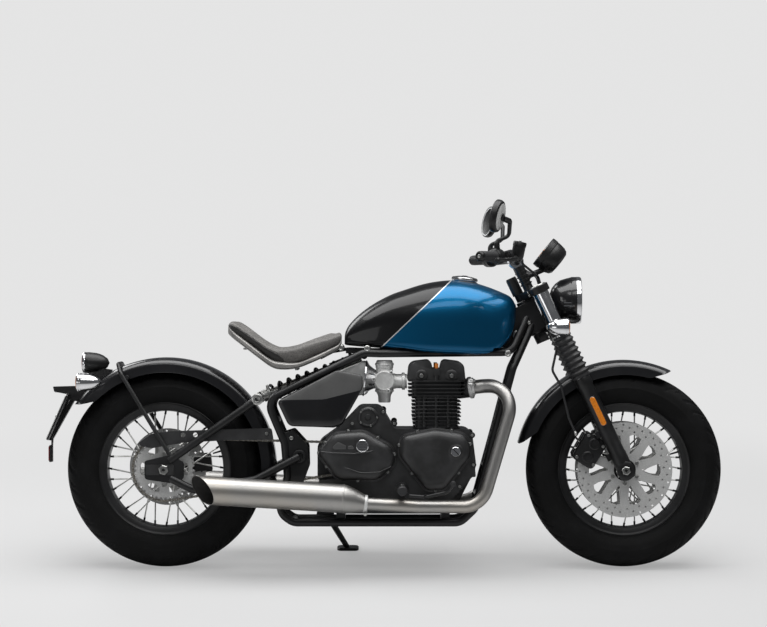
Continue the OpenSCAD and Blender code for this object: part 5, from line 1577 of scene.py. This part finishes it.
def holed(shape, outer, holes, y0, y1, look=0, centre=(0.0, 0.0)):
    """A flat plate in X and Z from y0 to y1, with holes. Places are measured from centre."""
    curve = bpy.data.curves.new("plate", "CURVE")
    curve.dimensions, curve.fill_mode, curve.extrude = "2D", "BOTH", abs(y1 - y0) / 2
    for row in [outer] + list(holes):
        line = curve.splines.new("POLY")
        line.points.add(len(row) - 1)
        for spot, (x, z) in zip(line.points, row):
            spot.co = (x, z, 0, 1)
        line.use_cyclic_u = True
    obj = bpy.data.objects.new("plate", curve)
    work = bmesh.new()
    work.from_mesh(obj.to_mesh())
    bmesh.ops.remove_doubles(work, verts=work.verts, dist=0.001)
    base = len(shape.points)
    middle = (y0 + y1) / 2
    shape.points += [vec(centre[0] + v.co.x, middle + v.co.z, centre[1] + v.co.y) for v in work.verts]
    for face in work.faces:
        shape.face([base + v.index for v in face.verts], look)
    work.free()
    obj.to_mesh_clear()
    bpy.data.objects.remove(obj)
    bpy.data.curves.remove(curve)
    return shape


def circle(r, count=32, centre=(0.0, 0.0)):
    """A circle as an outline."""
    return [(centre[0] + r * cos(tau * k / count), centre[1] + r * sin(tau * k / count))
        for k in range(count)]


def polar(rows, angle):
    """Rows of (radius, degrees) as an outline turned by an angle in radians."""
    return [(r * cos(angle + radians(a)), r * sin(angle + radians(a))) for r, a in rows]


class BOBBER_OT_frame(Step):
    """Frame tubes with plates, gussets and engine mounts"""
    bl_idname = "bobber.frame"
    bl_label = "Frame"
    loop = [on_fork(588, -14, 18), (1128, 78, 704), (700, 98, 700), (650, 106, 702), (334, 118, 548),
        (392, 114, 410), (402, 114, 300), (372, 112, 184), (420, 112, 151), (962, 112, 151),
        (1010, 112, 196), (1134, 84, 652), on_fork(556, -14, 21)]

    def build(self, sizes):
        shape = Shape().tube(rounded(self.loop, 45, 7), 13, 20)
        pivot = outline([(384, 440, 10), (420, 452, 10), (468, 400, 30), (470, 330, 30), (440, 250, 20),
            (396, 250, 10), (396, 340, 20)])
        shape.plate(pivot, 106, 119, 1, 2)
        shape.lathe([(20, 0), (20, 3), (17, 5), (10, 5), (9, 2), (0.1, 2)], (440, 118.5, 366), SIDE, 36, 2)
        for x, z in ((414, 426), (424, 268)):
            shape.bolt((x, 119, z), SIDE, 7, 2)
        gusset = [(1205, 766)] + [(p[0], p[2]) for p in (on_fork(530, 26), on_fork(630, 26),
            on_fork(630, -20))]
        gusset += [(1080, 806), (1052, 772), (1130, 694)]
        shape.plate(outline([(x, z, 8) for x, z in gusset]), 24, 32, 1, 2)
        for x, z, r in ((1150, 760, 15), (1096, 786, 6), (1190, 800, 6)):
            shape.lathe([(r, -1), (r, 4), (r * 0.8, 6), (r * 0.5, 6), (r * 0.4, 3), (0.1, 3)], (x, 32, z),
                SIDE, 28, 2)
        # lug and pin of the side stand, on the left only
        shape.mirrored()
        shape.plate(outline([(488, 158, 8), (552, 158, 8), (540, 198, 20), (500, 198, 20)]), 112, 136.5, 1,
            2)
        shape.lathe([(8, 0), (8, 36.5), (13, 36.5), (13, 40), (11, 41), (5, 41), (4, 39)], (520, 115, 176),
            SIDE, 28, 2)
        shape.lathe([(29, 0), (31, 2), (31, 12), (29, 14), (29, 102), (31, 104), (31, 116), (29, 118)],
            on_fork(521), FORK_U, 48, 0)
        shape.tube(rounded([on_fork(604, -14), (900, 0, 752), (700, 0, 716)], 60, 8), 22, 28)
        for x, z, y in ((650, 692.2, 106), (363, 480, 115), (420, 151, 112), (1022, 240, 112),
                (712, 702, 98)):
            shape.rod((x, -y, z), (x, y, z), 11, 24)
        shape.rod((440, -118, 366), (440, 118, 366), 14, 28, 2)
        for x in (560, 900):
            shape.box((x + 14, 0, 160.8), (28, 216, 41), 1)
        shape.box((800, 0, 708), (420, 120, 16), 1)
        for x, z, y in ((574, 718, 60), (660, 716, 108), (1118, 700, 96)):
            for side in (1, -1):
                shape.rod((x, 0, z), (x, side * y, z), 8, 20)
                shape.lathe([(11, 0), (11, 5), (9, 7), (6, 7), (5, 5)], (x, side * y, z), side * SIDE, 24, 2)
        dress("frame", shape, "satin_black satin_black zinc", "black_frame", bevel=0.8, sharp=50)


class BOBBER_OT_swingarm(Step):
    """Rear cage with dropouts, fender hoop and brake caliper, and the coil over damper"""
    bl_idname = "bobber.swingarm"
    bl_label = "Rear cage and spring"

    def build(self, sizes):
        shape = Shape()
        plate = outline([(-62, 352, 8), (-62, 292, 12), (20, 280, 12), (66, 292, 16), (66, 348, 12),
            (20, 372, 16)])
        shape.plate(plate, 122, 134, 0, 2)
        shape.plate(outline([(-58, 340, 6), (-58, 306, 6), (34, 306, 6), (34, 340, 6)]), 134, 137.5, 1, 1)
        shape.rod((-74, 128, 323), (-50, 128, 323), 5, 14, 2)
        shape.rod((-74, 128, 323), (-62, 128, 323), 9, 6, 2)
        shape.tube([(18, 128, 352), (304, 128, 552)], 13, 24)
        shape.tube(rounded([(20, 128, 296), (100, 128, 256), (300, 141, 292), (440, 141, 366)], 60, 8), 13,
            24)
        shape.lathe([(22, 0), (22, 10), (20, 12), (12, 12), (11, 8), (0.1, 8)], (440, 119, 366), SIDE, 36)
        shape.lathe([(18, 0), (19, 2), (19, 12), (14, 14), (8, 14), (7, 11), (0.1, 11)], (304, 128, 552),
            SIDE, 32, 2)
        shape.rod((-122, 86.5, 622), (-122, 108, 622), 7, 20)
        shape.bolt((-122, 84, 622), -SIDE, 5, 2)
        half = [(-152, 70, 665), (-142, 104, 635), (22, 128, 367)]
        shape.mirrored()
        shape.tube(rounded([(x, -y, z) for x, y, z in reversed(half)] + half, 20, 8), 7, 20)
        shape.rod((304, -128, 552), (304, 128, 552), 12, 28)
        fender = REAR_AXLE + 364 * (vec(304, 0, 552) - REAR_AXLE).normalized()
        shape.rod((304, 0, 552), fender, 10, 24)
        # caliper over the rear disc
        turn = Matrix.Rotation(radians(-6), 3, "Y")
        shape.box(REAR_AXLE + turn @ vec(103, 121, 0), (78, 26, 62), 3, turn)
        shape.box(REAR_AXLE + turn @ vec(114, 82, 0), (54, 5, 52), 3, turn)
        shape.box(REAR_AXLE + turn @ vec(141, 98, 0), (8, 40, 52), 3, turn)
        for z in (-18, 18):
            spot = REAR_AXLE + turn @ vec(104, 132, z)
            shape.lathe([(14, 0), (14, 3), (11, 4.5), (6, 4.5)], spot, SIDE, 28, 2)
        dress("swingarm", shape, "satin_black engine zinc engine", "black_frame", bevel=0.8, sharp=50)
        self.spring()

    def spring(self):
        low, high = vec(304, 0, 552), vec(650, 0, 692.2)
        d = (high - low).normalized()
        reach = (high - low).length
        shape = Shape().lathe([(12, 13), (20, 16), (20, 34), (31, 36), (31, 44), (20, 45), (15, 46),
            (15, reach - 118), (20, reach - 117), (20, reach - 48), (31, reach - 47), (31, reach - 38),
            (20, reach - 36), (18, reach - 13)], low, d, 40, 0)
        x = d.cross(SIDE).normalized()
        turns, steps = 8.5, 24
        path = []
        for k in range(int(turns * steps) + 1):
            a = tau * k / steps
            path.append(low + d * (50 + (reach - 104) * k / (turns * steps))
                + (25 - 9 * k / (turns * steps)) * (x * cos(a) + SIDE * sin(a)))
        shape.tube(path, 5.2, 12, 1)
        shape.rod(low + SIDE * -19 + d * 2, low + SIDE * 19 + d * 2, 11.5, 24)
        shape.rod(high + SIDE * -19 - d * 2, high + SIDE * 19 - d * 2, 10.5, 24)
        dress("rear_shock", shape, "zinc gloss_black", "black_frame")


class BOBBER_OT_crankcase(Step):
    """Engine case with its webs and bolts, and the radiator in front of it"""
    bl_idname = "bobber.crankcase"
    bl_label = "Crankcase and radiator"

    def build(self, sizes):
        back = [(498, 300, 40), (498, 410, 40)]
        top = [(570, 462, 30), (636, 530, 30), (704, 530, 30), (748, 456, 20), (1000, 456, 30)]
        foot = [(1012, 301, 4), (1000, 300, 4), (900, 190, 4), (898, 182, 4), (540, 182, 40)]
        whole = outline(back + top + [(1016, 330, 60), (940, 182, 40), (540, 182, 40)])
        left = outline(back + top + foot)
        pocket = [(566 + 62 * cos(a), 360 + 62 * sin(a), 0) for a in (radians(-80 + 20 * k)
            for k in range(9))]
        right = outline([(506, 288, 4), (566, 297, 0)] + pocket + [(566, 423, 0), (518, 426, 4)] + top
            + foot)
        shape = Shape().plate(whole, -84, 94, 0)
        shape.plate(left, 94, 146, 0, 3)
        holed(shape, right, [], -146, -84, 0)
        # round housing with five screws behind the block, screw bosses and ribs, on each side
        for y, way in ((-145, -1), (145, 1)):
            shape.lathe([(34, 0), (34, 3), (30, 7), (26, 8), (24, 5), (10, 5), (8, 8), (0.1, 8)],
                (663, y, 494), SIDE * way, 44, 0)
            for k in range(5):
                a = tau * k / 5
                shape.bolt((663 + 29 * cos(a), y + 6 * way, 494 + 29 * sin(a)), SIDE * way, 3.4, 1)
            for x, z in ((540, 214), (600, 200), (700, 200), (800, 200), (880, 206), (612, 474), (712, 512),
                    (748, 474), (1000, 436), (1004, 340), (960, 270)):
                shape.lathe([(10, -2), (9, 3), (8, 3)], (x, y, z), SIDE * way, 18, 0)
                shape.bolt((x, y + 2.5 * way, z), SIDE * way, 5, 1)
            for x in (560, 620, 680, 740, 800, 860):
                shape.box((x, y, 232), (5, 5, 34), 0)
        for x in range(560, 900, 24):
            shape.box((x, 0, 184), (6, 180, 5), 0)
        dress("crankcase", shape, "engine zinc", "black_engine", bevel=0.8, sharp=50)
        self.radiator()

    def radiator(self):
        low, turn = vec(1050, 0, 330), Matrix.Rotation(radians(14.5), 3, "Y")

        def block(centre, size, look=0):
            shape.box(low + turn @ Vector(centre), size, look, turn)

        shape = Shape()
        block((0, 0, 130), (22, 122, 250), 1)
        for i in range(62):
            block((0, 0, 9 + i * 3.95), (29, 112, 1.1), 2)
        for i in range(15):
            block((0, -56 + i * 8, 130), (30, 2.2, 246), 2)
        for side in (-1, 1):
            block((0, side * 62, 130), (32, 14, 252))
            block((0, side * 70.5, 225), (16, 12, 16))
            block((0, side * 76.5, 20), (16, 24, 16))
            shape.bolt(low + turn @ vec(9, side * 62, 225), turn @ vec(1, 0, 0), 5, 3)
            shape.bolt(low + turn @ vec(9, side * 62, 20), turn @ vec(1, 0, 0), 5, 3)
        block((0, 0, 4), (32, 128, 8))
        block((0, 0, 256), (32, 128, 8))
        dress("radiator", shape, "satin_black satin_black plastic zinc", "black_engine", bevel=0.4, sharp=50)


class BOBBER_OT_chain(Step):
    """Chain of single links, sprockets and the chain guard"""
    bl_idname = "bobber.chain"
    bl_label = "Chain"
    front, y = vec(566, 0, 360), -94.0

    def run(self):
        """The chain's middle line, in links of even length."""
        r0, r1 = 102.8, 50.8
        v = self.front - REAR_AXLE
        a, b = atan2(v.z, v.x), acos((r0 - r1) / v.length)
        fine = []
        for k in range(241):
            t = a + b + (tau - 2 * b) * k / 240
            fine.append(REAR_AXLE + r0 * vec(cos(t), 0, sin(t)))
        for k in range(121):
            t = a - b + 2 * b * k / 120
            fine.append(self.front + r1 * vec(cos(t), 0, sin(t)))
        fine.append(fine[0])
        total = sum((q - p).length for p, q in zip(fine, fine[1:]))
        count = 2 * round(total / 15.875 / 2)
        pins, walked, target = [], 0.0, 0.0
        for p, q in zip(fine, fine[1:]):
            step = (q - p).length
            while target <= walked + step and len(pins) < count:
                pins.append(p.lerp(q, (target - walked) / step if step else 0))
                target += total / count
            walked += step
        return pins

    def build(self, sizes):
        shape = Shape()
        pins = self.run()
        for k, p in enumerate(pins):
            q = pins[(k + 1) % len(pins)]
            way = (q - p).normalized()
            across = way.cross(SIDE)
            row = []
            for end, start in ((p, 90), (q, -90)):
                for s in range(5):
                    a = radians(start + 45 * s)
                    row.append(end + 4.3 * (way * cos(a) + across * sin(a)))
            middle = (p + q) / 2
            row.insert(5, middle - across * 3.4)
            row.append(middle + across * 3.4)
            for side in (-1, 1):
                y0, y1 = ((3.6, 5.2) if k % 2 else (2.0, 3.6))
                shape.skin([[c + (self.y + side * y) * SIDE for c in row] for y in (y0, y1)], 0)
            shape.rod(p + (self.y - 5.9) * SIDE, p + (self.y + 5.9) * SIDE, 2.2, 10, 1)
            shape.rod(p + (self.y - 2.2) * SIDE, p + (self.y + 2.2) * SIDE, 3.9, 12, 1)
        teeth = [(r, 360 * (k + o) / 18) for k in range(18) for r, o in ((44, 0), (44, 0.35), (51, 0.55),
            (51, 0.8))]
        holed(shape, polar(teeth, 0), [circle(6, 16, (26 * cos(t), 26 * sin(t)))
            for t in (tau * k / 6 for k in range(6))], self.y - 1.9, self.y + 1.9, 1, (566, 360))
        shape.rod((566, self.y, 360), (566, -84.3, 360), 15, 32, 1)
        shape.lathe([(18, 0), (18, 6), (15, 9), (8, 9)], (566, self.y, 360), -SIDE, 6, 1)
        dress("drive_chain", shape, "chain zinc", "steel")
        wheel = Shape()
        teeth = [(r, 360 * (k + o) / 40) for k in range(40) for r, o in ((91, 0), (91, 0.3), (96, 0.48),
            (98, 0.55), (98, 0.75), (96, 0.82))]
        slots = [polar([(r, a) for r, a in ((60, -15), (76, -17), (79, -8), (79, 8), (76, 17), (60, 15),
            (57, 0))], tau * k / 6) for k in range(6)]
        holed(wheel, polar(teeth, 0.02), slots + [circle(37, 48)], self.y - 3, self.y + 3, 0, (0, REAR_R))
        for k in range(6):
            a = tau * (k + 0.5) / 6
            wheel.bolt((50 * cos(a), self.y - 3, REAR_R + 50 * sin(a)), -SIDE, 8, 1)
        dress("rear_sprocket", wheel, "disc zinc", "steel", "rear_wheel")
        self.guard()

    def guard(self):
        shape = Shape()
        row = outline([(-84, 408, 4), (-40, 440, 40), (20, 448, 20), (350, 458, 10), (356, 420, 6),
            (200, 418, 10), (60, 410, 20), (-40, 392, 30), (-72, 398, 8)])
        holed(shape, row, [circle(7.5, 24, c) for c in ((62, 436), (102, 436))], -113, -110)
        shape.rod((130, -126, 430), (130, -111, 430), 6, 20)
        shape.bolt((130, -113, 430), SIDE, 6, 1)
        shape.bolt((334, -113, 440), -SIDE, 6, 1)
        dress("chain_guard", shape, "plastic zinc", "black_paint", bevel=0.6, sharp=50)


class BOBBER_OT_controls(Step):
    """Foot pegs, pedals, axles and side stand"""
    bl_idname = "bobber.controls"
    bl_label = "Pegs, axles and stand"

    def build(self, sizes):
        shape = Shape()
        x, z = 773, 262
        grip = [(13, 0), (15, 1)]
        for k in range(12):
            h = 4 + k * 8
            grip += [(15, h), (15, h + 4), (12.6, h + 5), (12.6, h + 7)]
        grip += [(15, 101), (13, 103.5), (6, 104)]
        shape.lathe(grip, (x, 196, z), SIDE, 32, 1)
        shape.lathe([(22, 0), (22, 6), (11, 9), (11, 50)], (x, 146.3, z), SIDE, 32, 0)
        shape.box((x, 190, z), (22, 12, 30), 0)
        shape.rod((x, 190, z - 17), (x, 190, z + 17), 5, 16, 2)
        shape.tube(rounded([(780, 206, 254), (790, 216, 244), (850, 222, 240), (918, 240, 256),
            (936, 262, 282)], 30, 6), 5.8, 14, 0)
        shape.lathe([(7, 0), (9, 1), (9, 8), (8, 9), (8, 12), (9, 13), (9, 20), (8, 21), (8, 24), (9, 25),
            (9, 33), (8, 34), (8, 37), (9, 38), (9, 45), (7, 46)], (936, 240, 284), SIDE, 24, 1)
        for part in ((790, 216, 244), (850, 222, 240)):
            shape.lathe([(8, -5), (9, -3), (9, 3), (8, 5)], part, SIDE, 20, 0)
        shape.mirrored()
        dress("foot_controls", shape, "satin_black rubber zinc", "black_frame", sharp=40)
        self.axle("front_axle", FRONT_AXLE, 132.3, 15, 6, "steering")
        self.axle("rear_axle", REAR_AXLE, 134.3, 17, 10, "chassis")
        self.stand()

    def axle(self, name, centre, out, r, tall, body):
        shape = Shape().lathe([(6, -out - tall), (9.9, -out - tall), (9.9, out + tall), (6, out + tall)],
            centre, SIDE, 40, 0, closed=True)
        for way, sides in ((1, 40), (-1, 6)):
            face = [(6.2, tall), (r - 2, tall), (r, tall - 2), (r, 0), (9.5, 0), (6.2, 0)]
            shape.lathe(face, centre + way * out * SIDE, SIDE * way, sides, 0, closed=True)
        dress(name, shape, "zinc", "steel", body, bevel=0.4)

    def stand(self):
        shape = Shape()
        pivot = vec(520, 144, 176)
        foot = Vector((592, 228, (228 * sin(LEAN) - LIFT) / cos(LEAN)))
        shape.tube([pivot + vec(4, 3, -12), pivot.lerp(foot, 0.5), foot + vec(0, 0, 7)], [11, 10, 9], 24)
        shape.lathe([(8.2, -7), (18, -7), (19, -6), (19, 6), (18, 7), (16, 7), (16, 6), (8.2, 6)], pivot,
            SIDE, 40, 0, closed=True)
        turn = Matrix.Rotation(LEAN, 3, "X")
        sole = [(x, z) for x, z in outline([(-34, -24, 14), (38, -24, 14), (38, 26, 14), (-34, 26, 14)])]
        shape.skin([[foot + turn @ vec(x * f, y * f, h) for x, y in sole]
            for h, f in ((0.2, 0.97), (1.5, 1.0), (7, 1.0), (9, 0.93))])
        # spring and its hooks
        a, b = pivot + vec(6, 14, 10), pivot.lerp(foot, 0.42) + vec(2, 12, 4)
        way = (b - a).normalized()
        x = way.orthogonal().normalized()
        y = way.cross(x)
        path = [a + way * ((b - a).length * k / 216) + 4.5 * (x * cos(tau * k / 12)
            + y * sin(tau * k / 12)) for k in range(217)]
        shape.tube(path, 1.3, 6, 1)
        shape.rod(b - vec(0, 12, 0), b + vec(0, 3, 0), 3.4, 12, 1)
        dress("side_stand", shape, "satin_black zinc", "black_frame", "side_stand", sharp=40)


class BOBBER_OT_stage(Step):
    """Studio floor, lights and camera"""
    bl_idname = "bobber.stage"
    bl_label = "Stage"

    def floor_look(self, colors):
        """A lit floor that fades into the backdrop's even colour away from the machine."""
        look = Look("studio_floor", tuple(colors.floor), 0.6)
        look.set("Base Color", look.mix(look.noise(0.6), tuple(colors.floor),
            tuple(c * 1.02 for c in colors.floor)))
        away = look.node("ShaderNodeVectorMath", {"operation": "LENGTH"},
            {0: look.stretched((0.62, 0.85, 1.0))}, out="Value")
        seen = look.node("ShaderNodeLightPath", out="Is Camera Ray")
        glow = look.node("ShaderNodeEmission", {}, {"Color": (*colors.backdrop, 1)})
        both = look.node("ShaderNodeMixShader", {}, {0: (look.step(away, 0.75, 2.0) * 0.55 + 0.45) * seen,
            1: Wire(look, look.surface.outputs[0]), 2: glow})
        look.join(both, look.tree.nodes["Material Output"].inputs["Surface"])
        return look.mat

    def build(self, sizes):
        colors = bpy.context.scene.bobber_colors
        scene = bpy.context.scene
        scene.view_settings.view_transform = "Standard"
        half = sizes.floor_size / 2
        mesh = bpy.data.meshes.new("floor")
        mesh.from_pydata([(-half, -half, 0), (half, -half, 0), (half, half, 0), (-half, half, 0)], [],
            [(0, 1, 2, 3)])
        floor = bpy.data.objects.new("floor", mesh)
        scene.collection.objects.link(floor)
        mesh.materials.append(self.floor_look(colors))
        world = bpy.data.worlds.new("studio")
        scene.world = world
        world.use_nodes = True
        tree = world.node_tree
        tree.nodes.clear()
        rays = tree.nodes.new("ShaderNodeLightPath")
        glow = tree.nodes.new("ShaderNodeBackground")
        seen = tree.nodes.new("ShaderNodeBackground")
        pick = tree.nodes.new("ShaderNodeMixShader")
        out = tree.nodes.new("ShaderNodeOutputWorld")
        glow.inputs[0].default_value = (0.85, 0.88, 0.92, 1)
        glow.inputs[1].default_value = 0.13
        seen.inputs[0].default_value = (*colors.backdrop, 1)
        tree.links.new(rays.outputs["Is Camera Ray"], pick.inputs[0])
        tree.links.new(glow.outputs[0], pick.inputs[1])
        tree.links.new(seen.outputs[0], pick.inputs[2])
        tree.links.new(pick.outputs[0], out.inputs[0])
        for name, at, aim, size, power in (("key", (0.6, -3.0, 4.4), (0, 0, 0.3), (4.4, 1.2), 60),
                ("top", (0.0, 0.1, 3.4), (0, 0, 0.3), (5.0, 2.6), 190), ("rim", (-2.8, 3.2, 2.6),
                (0, 0, 0.5), (2.4, 1.6), 50), ("fill", (-3.2, -3.6, 1.2), (-0.2, 0, 0.4), (2.6, 1.2), 14)):
            lamp = bpy.data.lights.new(name, "AREA")
            lamp.shape, lamp.size, lamp.size_y, lamp.energy = "RECTANGLE", size[0], size[1], power
            obj = bpy.data.objects.new(name, lamp)
            obj.location = at
            obj.rotation_euler = (Vector(aim) - Vector(at)).to_track_quat("-Z", "Y").to_euler()
            scene.collection.objects.link(obj)
        eye = bpy.data.cameras.new("camera")
        eye.lens, eye.sensor_width = 150.1, 36.0
        camera = bpy.data.objects.new("camera", eye)
        scene.collection.objects.link(camera)
        at = PARK @ vec(713, -sizes.camera_distance * 1000, 830)
        turn = PARK.to_3x3() * 1000
        camera.matrix_world = Matrix.Translation(at) @ (turn @ Matrix.Rotation(radians(90), 3,
            "X")).to_4x4()
        scene.camera = camera


STEPS = [BOBBER_OT_tyres, BOBBER_OT_wheels, BOBBER_OT_brakes, BOBBER_OT_tank, BOBBER_OT_seat,
    BOBBER_OT_fenders, BOBBER_OT_side_covers, BOBBER_OT_exhaust, BOBBER_OT_engine, BOBBER_OT_intake,
    BOBBER_OT_fork, BOBBER_OT_handlebar, BOBBER_OT_mirrors, BOBBER_OT_lamps, BOBBER_OT_calipers,
    BOBBER_OT_frame, BOBBER_OT_swingarm, BOBBER_OT_crankcase, BOBBER_OT_chain, BOBBER_OT_controls]


class BOBBER_PT_panel(bpy.types.Panel):
    """Buttons for every building step"""
    bl_idname = "BOBBER_PT_panel"
    bl_label = "Bobber motorcycle"
    bl_space_type = "VIEW_3D"
    bl_region_type = "UI"
    bl_category = "Bobber"

    def draw(self, context):
        for group in (context.scene.bobber_sizes, context.scene.bobber_colors):
            for name in group.__annotations__:
                self.layout.prop(group, name)
        for step in STEPS + [BOBBER_OT_stage]:
            self.layout.operator(step.bl_idname)


GROUPS = [BobberSizes, BobberColors]


def register():
    for item in GROUPS + STEPS + [BOBBER_OT_stage, BOBBER_PT_panel]:
        bpy.utils.register_class(item)
    bpy.types.Scene.bobber_sizes = bpy.props.PointerProperty(type=BobberSizes)
    bpy.types.Scene.bobber_colors = bpy.props.PointerProperty(type=BobberColors)


def unregister():
    del bpy.types.Scene.bobber_sizes
    del bpy.types.Scene.bobber_colors
    for item in reversed(GROUPS + STEPS + [BOBBER_OT_stage, BOBBER_PT_panel]):
        bpy.utils.unregister_class(item)


def main():
    register()
    for step in STEPS + [BOBBER_OT_stage]:
        area, name = step.bl_idname.split(".")
        if getattr(getattr(bpy.ops, area), name)() != {"FINISHED"}:
            raise RuntimeError(f"{step.bl_label} didn't finish")


if __name__ == "__main__":
    main()
